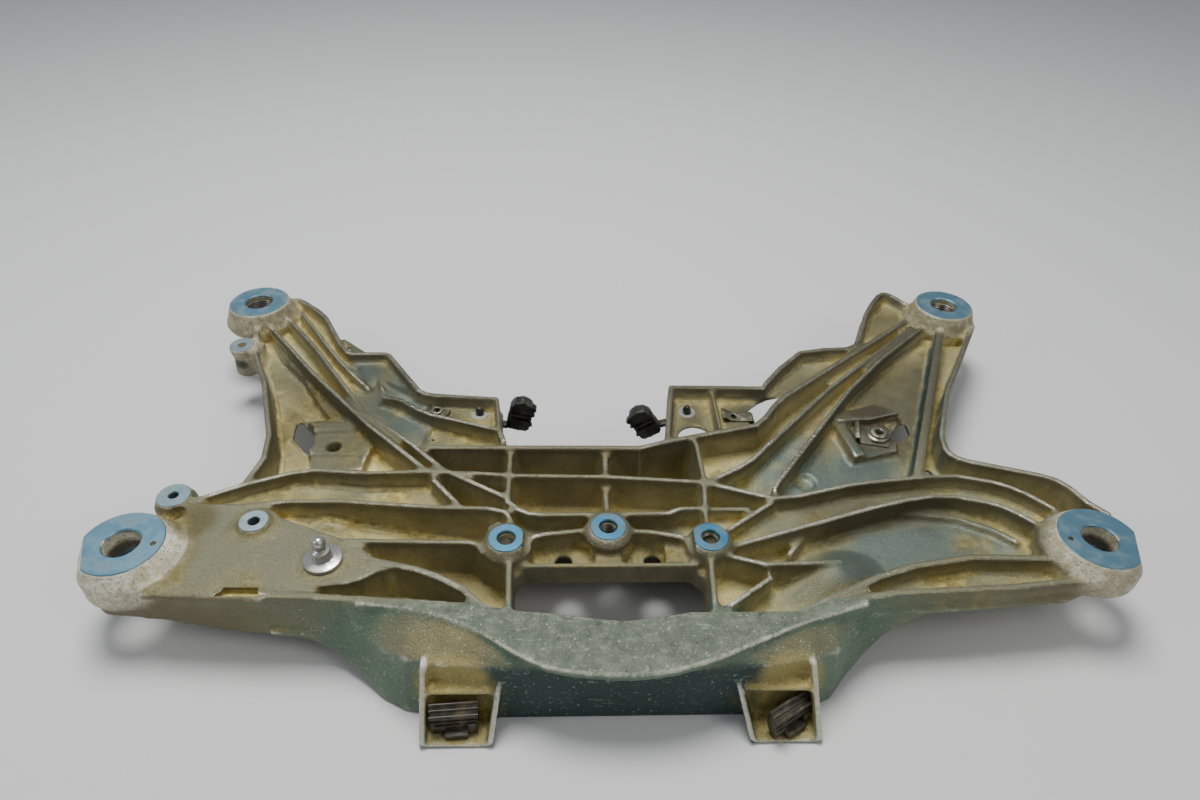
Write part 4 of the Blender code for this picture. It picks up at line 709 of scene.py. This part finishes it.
# The faces that meet the body and the engine are milled, with bores reamed or threaded through
# them: bright rings with fine turning marks and a bright chamfer at both edges, their bluish
# tint a painted reflection of the sky.
def lathe(profile, centre, sides=96):
    """Closed ring turned about an upright axis, from (radius, height) pairs in mm."""
    middle = plan(*centre)
    shape = bmesh.new()
    line = [shape.verts.new((middle.x + r * MM, middle.y, z * MM)) for r, z in profile]
    edges = [shape.edges.new(pair) for pair in zip(line, line[1:])]
    bmesh.ops.spin(
        shape, geom=line + edges, cent=middle, axis=(0, 0, 1), angle=math.tau, steps=sides,
        use_merge=True,
    )
    bmesh.ops.remove_doubles(shape, verts=shape.verts, dist=0.000002)
    bmesh.ops.recalc_face_normals(shape, faces=shape.faces)
    return shape


def cut_flat(ring, place, normal):
    """Cuts off what lies beyond a place and closes the ring there."""
    cut = bmesh.ops.bisect_plane(
        ring, geom=ring.verts[:] + ring.edges[:] + ring.faces[:], plane_co=place,
        plane_no=normal, clear_outer=True,
    )
    bmesh.ops.holes_fill(ring, edges=only(cut["geom_cut"], bmesh.types.BMEdge))


def machined_finish(name, centre, colour, marks=1500.0, roughness=0.36):
    """Turned metal with rings about a centre on the plan."""
    look = Finish(name, roughness, 0.9)
    moved = look.node(
        "ShaderNodeVectorMath", {"operation": "SUBTRACT"}, {0: look.place, 1: plan(*centre)}
    )
    flat = look.node(
        "ShaderNodeVectorMath", {"operation": "MULTIPLY"}, {0: moved, 1: (1.0, 1.0, 0.0)}
    )
    away = look.node("ShaderNodeVectorMath", {"operation": "LENGTH"}, {0: flat}, out="Value")
    ring = look.node("ShaderNodeMath", {"operation": "SINE"}, {0: away * marks * 2.0})
    smear = look.noise(70.0, 4.0)
    spots = look.noise(600.0, 3.0, 0.7)
    dirt = look.step(smear + spots * 0.4, 0.66, 0.86)
    dull = tuple(part * 0.72 for part in colour)
    base = look.mix(ring * 0.12 + 0.4, colour, dull)
    base = look.mix(dirt * 0.45, base, (0.20, 0.18, 0.13))
    look.set("Base Color", base)
    look.set("Roughness", roughness + smear * 0.14 + dirt * 0.22)
    look.set("Normal", look.bump(ring + spots * 0.6, 0.00004, 0.5))
    return look


BODY_FACE = 90.0
FLAT_SIDE_ANGLE = 20.9
FLAT_SIDE_OFFSET = 29.2
for name, centre in CORNERS.items():
    front = name.startswith("front")
    face = 34.9 if front else 33.0
    wall = 14.9 if front else 15.2
    low = 64.2 if front else 61.0
    ring = lathe(
        [(wall, low), (wall, BODY_FACE - 1.4), (wall + 1.3, BODY_FACE + 0.08),
         (face - 0.7, BODY_FACE + 0.08), (face, BODY_FACE - 0.7), (face, BODY_FACE - 1.5),
         (wall + 1.0, BODY_FACE - 2.2), (wall + 1.0, low), (wall, low)],
        centre,
    )
    if front:
        outward = math.copysign(1.0, centre[0])
        turn = math.radians(FLAT_SIDE_ANGLE)
        normal = Vector((outward * math.cos(turn), -math.sin(turn), 0.0))
        cut_flat(ring, plan(*centre) + normal * FLAT_SIDE_OFFSET * MM, normal)
    piece = new_piece(ring, f"{name}_milled_face", sharp=30)
    if front:
        drilled(piece, [(centre[0] - outward * PIN_HOLE_INSET, -1.0, 2.4, 84.0, 96.0)])
        piece.data.set_sharp_from_angle(angle=math.radians(30))
    settle_piece(
        piece, machined_finish(f"{name}_milled", centre, (0.19, 0.37, 0.48)), "cast_aluminium",
    )

ENGINE_FACE = 84.0
SIDE_BOSS_FLAT = 14.3
for name, centre in ENGINE_BOSSES.items():
    ring = lathe(
        [(7.45, 69.5), (7.45, ENGINE_FACE - 1.2), (8.4, ENGINE_FACE + 0.06),
         (15.4, ENGINE_FACE + 0.06), (15.95, ENGINE_FACE - 0.5), (15.95, ENGINE_FACE - 1.4),
         (8.2, ENGINE_FACE - 2.0), (8.2, 69.5), (7.45, 69.5)],
        centre, 72,
    )
    if name != "middle":
        inward = 1.0 if name == "left" else -1.0
        cut_flat(ring, plan(centre[0] + inward * SIDE_BOSS_FLAT, centre[1]), (inward, 0.0, 0.0))
    settle_piece(
        new_piece(ring, f"{name}_engine_face", sharp=30),
        machined_finish(f"{name}_engine_milled", centre, (0.062, 0.19, 0.29), 2200.0),
        "cast_aluminium",
    )

# Smaller rings are milled on the end, ear and plate bosses, and spot faces on the flanges and
# on the bracket seat: x, y, bore, reach and top in mm, and the tint of the bare metal, bluish
# on the three bosses with a painted reflection of the sky.
SMALL_RINGS = {
    "end_boss": (*END_BOSS, 4.4, 14.6, 78.2, (0.30, 0.44, 0.50)),
    "ear_boss": (*EAR_BOSS, 4.4, 13.4, 78.2, (0.36, 0.46, 0.50)),
    "plate_boss": (*PLATE_BOSS, 5.0, 12.6, 83.7, (0.34, 0.44, 0.47)),
    "left_pin": (*LEFT_PIN, 3.6, 9.6, 62.2, (0.44, 0.45, 0.40)),
    "right_pin": (*RIGHT_PIN, 3.6, 9.6, 62.2, (0.44, 0.45, 0.40)),
    "seat": (279.3, 166.0, 5.4, 8.4, 60.1, (0.44, 0.45, 0.40)),
}
for name, (x, y, bore, reach, top, metal_and_sky_tint) in SMALL_RINGS.items():
    deep = 9.0 if name.endswith("boss") else 1.5
    ring = lathe(
        [(bore, top - deep), (bore, top - 0.7), (bore + 0.7, top + 0.05), (reach - 0.4, top + 0.05),
         (reach, top - 0.4), (reach, top - 1.0), (bore + 0.8, top - 1.4), (bore + 0.8, top - deep),
         (bore, top - deep)],
        (x, y), 56,
    )
    settle_piece(
        new_piece(ring, f"{name}_face", sharp=30),
        machined_finish(f"{name}_milled", (x, y), metal_and_sky_tint, 2600.0), "cast_aluminium",
    )


# The stud is turned from one bar: a round foot pressed onto the plate, a stem, a waist and a
# rounded crown that a socket snaps over.
STUD_PLACE = (-252.0, -10.0)
stud = lathe(
    [(0.0, 105.2), (1.6, 105.15), (3.6, 104.3), (4.9, 102.8), (5.7, 100.2), (5.8, 98.6),
     (5.1, 96.6), (4.45, 95.4), (4.45, 93.2), (5.4, 92.4), (7.3, 91.9), (7.9, 91.2), (8.0, 90.4),
     (8.0, 83.2), (8.4, 82.3), (9.4, 81.9), (15.4, 81.8), (16.2, 81.4), (16.45, 80.7),
     (16.45, 78.6), (15.9, 78.32), (5.0, 78.3), (5.0, 66.0), (0.0, 66.0)],
    STUD_PLACE, 72,
)
settle_piece(
    new_piece(stud, "turned_stud", sharp=40),
    machined_finish("turned_stud_steel", STUD_PLACE, (0.62, 0.61, 0.57), 900.0, 0.2),
    "turned_steel", "locating_stud",
)


# The small pieces keep their solids' shapes with broken edges: black and brown moulded clips,
# zinc-plated sheet nuts and a steel weld nut.
def broken_edges(node, name, width, sharp=30.0):
    """Copy of a solid with its hard edges bevelled."""
    shape = merged_copy(node)
    bmesh.ops.dissolve_limit(
        shape, angle_limit=math.radians(2.0), verts=shape.verts, edges=shape.edges
    )
    hard = [edge for edge in shape.edges
            if edge.is_manifold and edge.calc_face_angle(0.0) > math.radians(sharp)]
    bmesh.ops.bevel(
        shape, geom=hard, offset=width * MM, offset_type="OFFSET", segments=2, profile=0.5,
        affect="EDGES", clamp_overlap=True, material=-1,
    )
    return new_piece(shape, name, sharp=35)


def moulded_finish(name, colour, roughness, dust):
    look = Finish(name, roughness, 0.0)
    patch = look.noise(90.0, 4.0)
    grain = look.noise(900.0, 3.0)
    dusty = look.step(patch + grain * 0.3, 0.55, 0.85)
    look.set("Base Color", look.mix(dusty * dust, colour, (0.15, 0.12, 0.06)))
    look.set("Roughness", roughness + dusty * 0.25)
    look.set("Normal", look.bump(grain, 0.0002, 0.4))
    return look


def sheet_finish(name, colour):
    look = Finish(name, 0.36, 0.9)
    patch = look.noise(120.0, 4.0)
    grain = look.noise(1400.0, 3.0)
    dull = look.step(patch, 0.45, 0.7)
    look.set("Base Color", look.mix(dull * 0.6, colour, (0.30, 0.27, 0.20)))
    look.set("Roughness", 0.3 + dull * 0.25)
    look.set("Normal", look.bump(grain, 0.0001, 0.4))
    return look


black_plastic = moulded_finish("glossy_black_plastic", (0.012, 0.012, 0.013), 0.28, 0.25)
brown_plastic = moulded_finish("dusty_brown_plastic", (0.018, 0.015, 0.010), 0.38, 0.55)
zinc_sheet = sheet_finish("zinc_sheet", (0.27, 0.265, 0.19))
for side in ("left", "right"):
    settle_piece(broken_edges(f"rear_{side}_cable_clip", f"{side}_cable_saddle", 0.5),
                 black_plastic, "black_plastic", f"rear_{side}_cable_clip")
    settle_piece(broken_edges(f"front_{side}_foot_clip", f"{side}_foot_saddle", 0.5),
                 brown_plastic, "dark_clip_plastic", f"front_{side}_foot_clip")
    settle_piece(broken_edges(f"rear_{side}_spring_nut", f"{side}_spring_leaf", 0.15),
                 zinc_sheet, "zinc_plated_sheet", f"rear_{side}_spring_nut")
settle_piece(broken_edges("nut_retainer", "retainer_sheet", 0.2), zinc_sheet,
             "zinc_plated_sheet", "nut_retainer")
settle_piece(broken_edges("right_bracket_nut", "seat_nut", 0.25), zinc_sheet,
             "turned_steel", "right_bracket_nut")


# The cable saddles are round moulded barrels with a webbed back wall that has small openings,
# and four folded beads run along each foot clip.
def drawn(shape, outline, start, stop, moves, along="Y"):
    """Adds an outline in mm drawn along an axis and then moved."""
    corners = []
    for across, height in outline:
        place = (across, start, height) if along == "Y" else (start, across, height)
        corners.append(shape.verts.new(moves @ (Vector(place) * MM)))
    face = bmesh.ops.contextual_create(shape, geom=corners)["faces"]
    made = bmesh.ops.extrude_face_region(shape, geom=face)["geom"]
    way = (0.0, stop - start, 0.0) if along == "Y" else (stop - start, 0.0, 0.0)
    bmesh.ops.translate(
        shape, vec=moves.to_3x3() @ (Vector(way) * MM),
        verts=only(made, bmesh.types.BMVert),
    )
    bmesh.ops.recalc_face_normals(shape, faces=shape.faces)


def arc(radius, middle, start, stop, count=18):
    """Points in mm on an arc, angles in degrees."""
    turns = [math.radians(start + (stop - start) * step / count) for step in range(count + 1)]
    return [(middle[0] + radius * math.cos(turn), middle[1] + radius * math.sin(turn))
            for turn in turns]


BACK_WEB = (
    [(-9.3, 1.2), (-9.3, 9.0), (-6.3, 13.4), (-1.0, 15.8), (-4.2, 1.2)],
    [(3.4, 1.2), (-1.0, 15.8), (6.3, 13.4), (9.3, 9.0), (9.3, 1.2)],
    [(-9.3, -15.4), (-9.3, -1.2), (-6.4, -1.2), (-3.4, -15.4)],
    [(-3.4, -15.4), (-3.2, -9.0), (-2.0, -1.2), (9.3, -1.2), (9.3, -15.4)],
)
BARREL_CROWN = arc(12.4, (0.0, 6.2), -8.0, 188.0) + arc(10.6, (0.0, 6.2), 188.0, -8.0)
BARREL_FOOT = arc(12.4, (0.0, -6.2), 172.0, 368.0) + arc(10.6, (0.0, -6.2), 368.0, 172.0)
SADDLES = {"left": (-96.0, 190.0, 73.0, 14.0, 1.0), "right": (34.0, 190.0, 62.0, -32.0, -1.0)}
for side, (x, y, z, lean, outer) in SADDLES.items():
    moves = Matrix.Translation(plan(x, y, z)) @ Matrix.Rotation(math.radians(lean), 4, "Y")
    barrel = bmesh.new()
    for panel in BACK_WEB:
        drawn(barrel, panel, 2.6, 4.4, moves)
    drawn(barrel, BARREL_CROWN, -6.8, 6.8, moves)
    drawn(barrel, BARREL_FOOT, -6.8, 6.8, moves)
    for height in (12.5, 4.0, -9.5):
        tooth = [(outer * 11.0, height - 1.8), (outer * 14.6, height - 0.4),
                 (outer * 13.8, height + 1.4), (outer * 11.0, height + 2.4)]
        drawn(barrel, tooth, -6.6, -2.0, moves)
    settle_piece(new_piece(barrel, f"{side}_cable_barrel", sharp=35), black_plastic,
                 "black_plastic")

FOOT_CLIPS = {"left": (-132.5, -121.5, 4.0), "right": (135.5, -121.5, 30.0)}
FOOT_BEADS = ((6.6, 30.0, 1.5), (3.0, 27.6, 1.0), (-1.4, 25.0, 1.5), (-2.6, 19.6, 1.0))
for side, (x, y, turn) in FOOT_CLIPS.items():
    moves = Matrix.Translation(plan(x, y)) @ Matrix.Rotation(math.radians(turn), 4, "Z")
    beads = bmesh.new()
    for across, height, radius in FOOT_BEADS:
        rod = arc(radius, (across, height), 0.0, 330.0, 11)
        drawn(beads, rod, -21.4, 16.9, moves, "X")
    settle_piece(new_piece(beads, f"{side}_foot_beads", sharp=50), brown_plastic,
                 "dark_clip_plastic")


# Thread inserts of coiled steel wire line the three middle bores and the two rear corner
# bores. Each is one vee-shaped helix that a screw runs in.
def coil(name, centre, wall, low, high, pitch, node, finish):
    """Vee-shaped thread inside a sleeve."""
    middle = plan(*centre, low)
    turns = int((high - low) / pitch) - 1
    sides = 40
    shape = bmesh.new()
    profile = [(wall, 0.0), (wall, pitch * 0.94), (wall - 0.9, pitch * 0.60),
               (wall - 0.9, pitch * 0.36)]
    ring = [shape.verts.new((middle.x + r * MM, middle.y, middle.z + z * MM)) for r, z in profile]
    face = shape.faces.new(ring)
    steps = turns * sides
    bmesh.ops.spin(
        shape, geom=[face], cent=middle, axis=(0, 0, 1), angle=math.tau * turns, steps=steps,
        dvec=(0, 0, pitch * MM / sides), use_merge=False,
    )
    bmesh.ops.recalc_face_normals(shape, faces=shape.faces)
    return settle_piece(new_piece(shape, name, sharp=35), finish, "insert_steel", node)


thread_steel = sheet_finish("thread_steel", (0.20, 0.19, 0.16))
for name, centre in ENGINE_BOSSES.items():
    node = "centre_boss_thread_insert" if name == "middle" else f"{name}_boss_thread_insert"
    coil(f"{name}_boss_thread", centre, 7.3, 67.6, 82.4, 1.75, node, thread_steel)
for side in ("left", "right"):
    coil(f"rear_{side}_thread", CORNERS[f"rear_{side}"], 15.0, 69.2, 86.8, 2.6,
         f"rear_{side}_thread_insert", thread_steel)


# A plain pale floor, three soft lamps and an even sky light the part, and the camera stands
# where the photograph was taken from.
floor_shape = bmesh.new()
bmesh.ops.create_grid(floor_shape, x_segments=1, y_segments=1, size=6.0)
floor = new_piece(floor_shape, "pale_floor")
floor_finish = Finish("pale_floor_paper", 0.8, 0.0)
floor_finish.set("Base Color", (0.62, 0.62, 0.61, 1))
floor.data.materials.append(floor_finish.material)


def lamp(name, place, size, watts, colour=(1.0, 1.0, 1.0)):
    light = bpy.data.lights.new(name, "AREA")
    light.shape = "DISK"
    light.size = size
    light.energy = watts
    light.color = colour
    made = bpy.data.objects.new(name, light)
    bpy.context.scene.collection.objects.link(made)
    made.location = place
    made.rotation_euler = (Vector((0, 0, 0)) - Vector(place)).to_track_quat("-Z", "Y").to_euler()


lamp("sky_lamp", (-0.25, 0.45, 2.2), 1.0, 60)
lamp("room_lamp", (1.6, -1.2, 1.9), 1.2, 13, (1.0, 0.97, 0.92))
lamp("left_lamp", (-1.9, -0.6, 1.3), 1.0, 7)
world = bpy.data.worlds.new("room")
world.use_nodes = True
world.node_tree.nodes["Background"].inputs["Color"].default_value = (0.80, 0.85, 0.92, 1)
world.node_tree.nodes["Background"].inputs["Strength"].default_value = 0.32
bpy.context.scene.world = world

pitch = math.radians(38.88)
yaw = math.radians(2.56)
roll = math.radians(1.66)
ahead = Vector((math.sin(yaw) * math.cos(pitch), math.cos(yaw) * math.cos(pitch), -math.sin(pitch)))
level = Vector((math.cos(yaw), -math.sin(yaw), 0.0))
upright = level.cross(ahead)
right = level * math.cos(roll) + upright * math.sin(roll)
up = upright * math.cos(roll) - level * math.sin(roll)
lens = bpy.data.cameras.new("photo_camera")
lens.sensor_width = 36.0
lens.lens = 24.0
camera = bpy.data.objects.new("photo_camera", lens)
bpy.context.scene.collection.objects.link(camera)
turned = Matrix((right, up, -ahead)).transposed().to_4x4()
camera.matrix_world = Matrix.Translation((-0.042, -0.457 - PLAN_CENTRE * MM, 0.613)) @ turned
bpy.context.scene.camera = camera
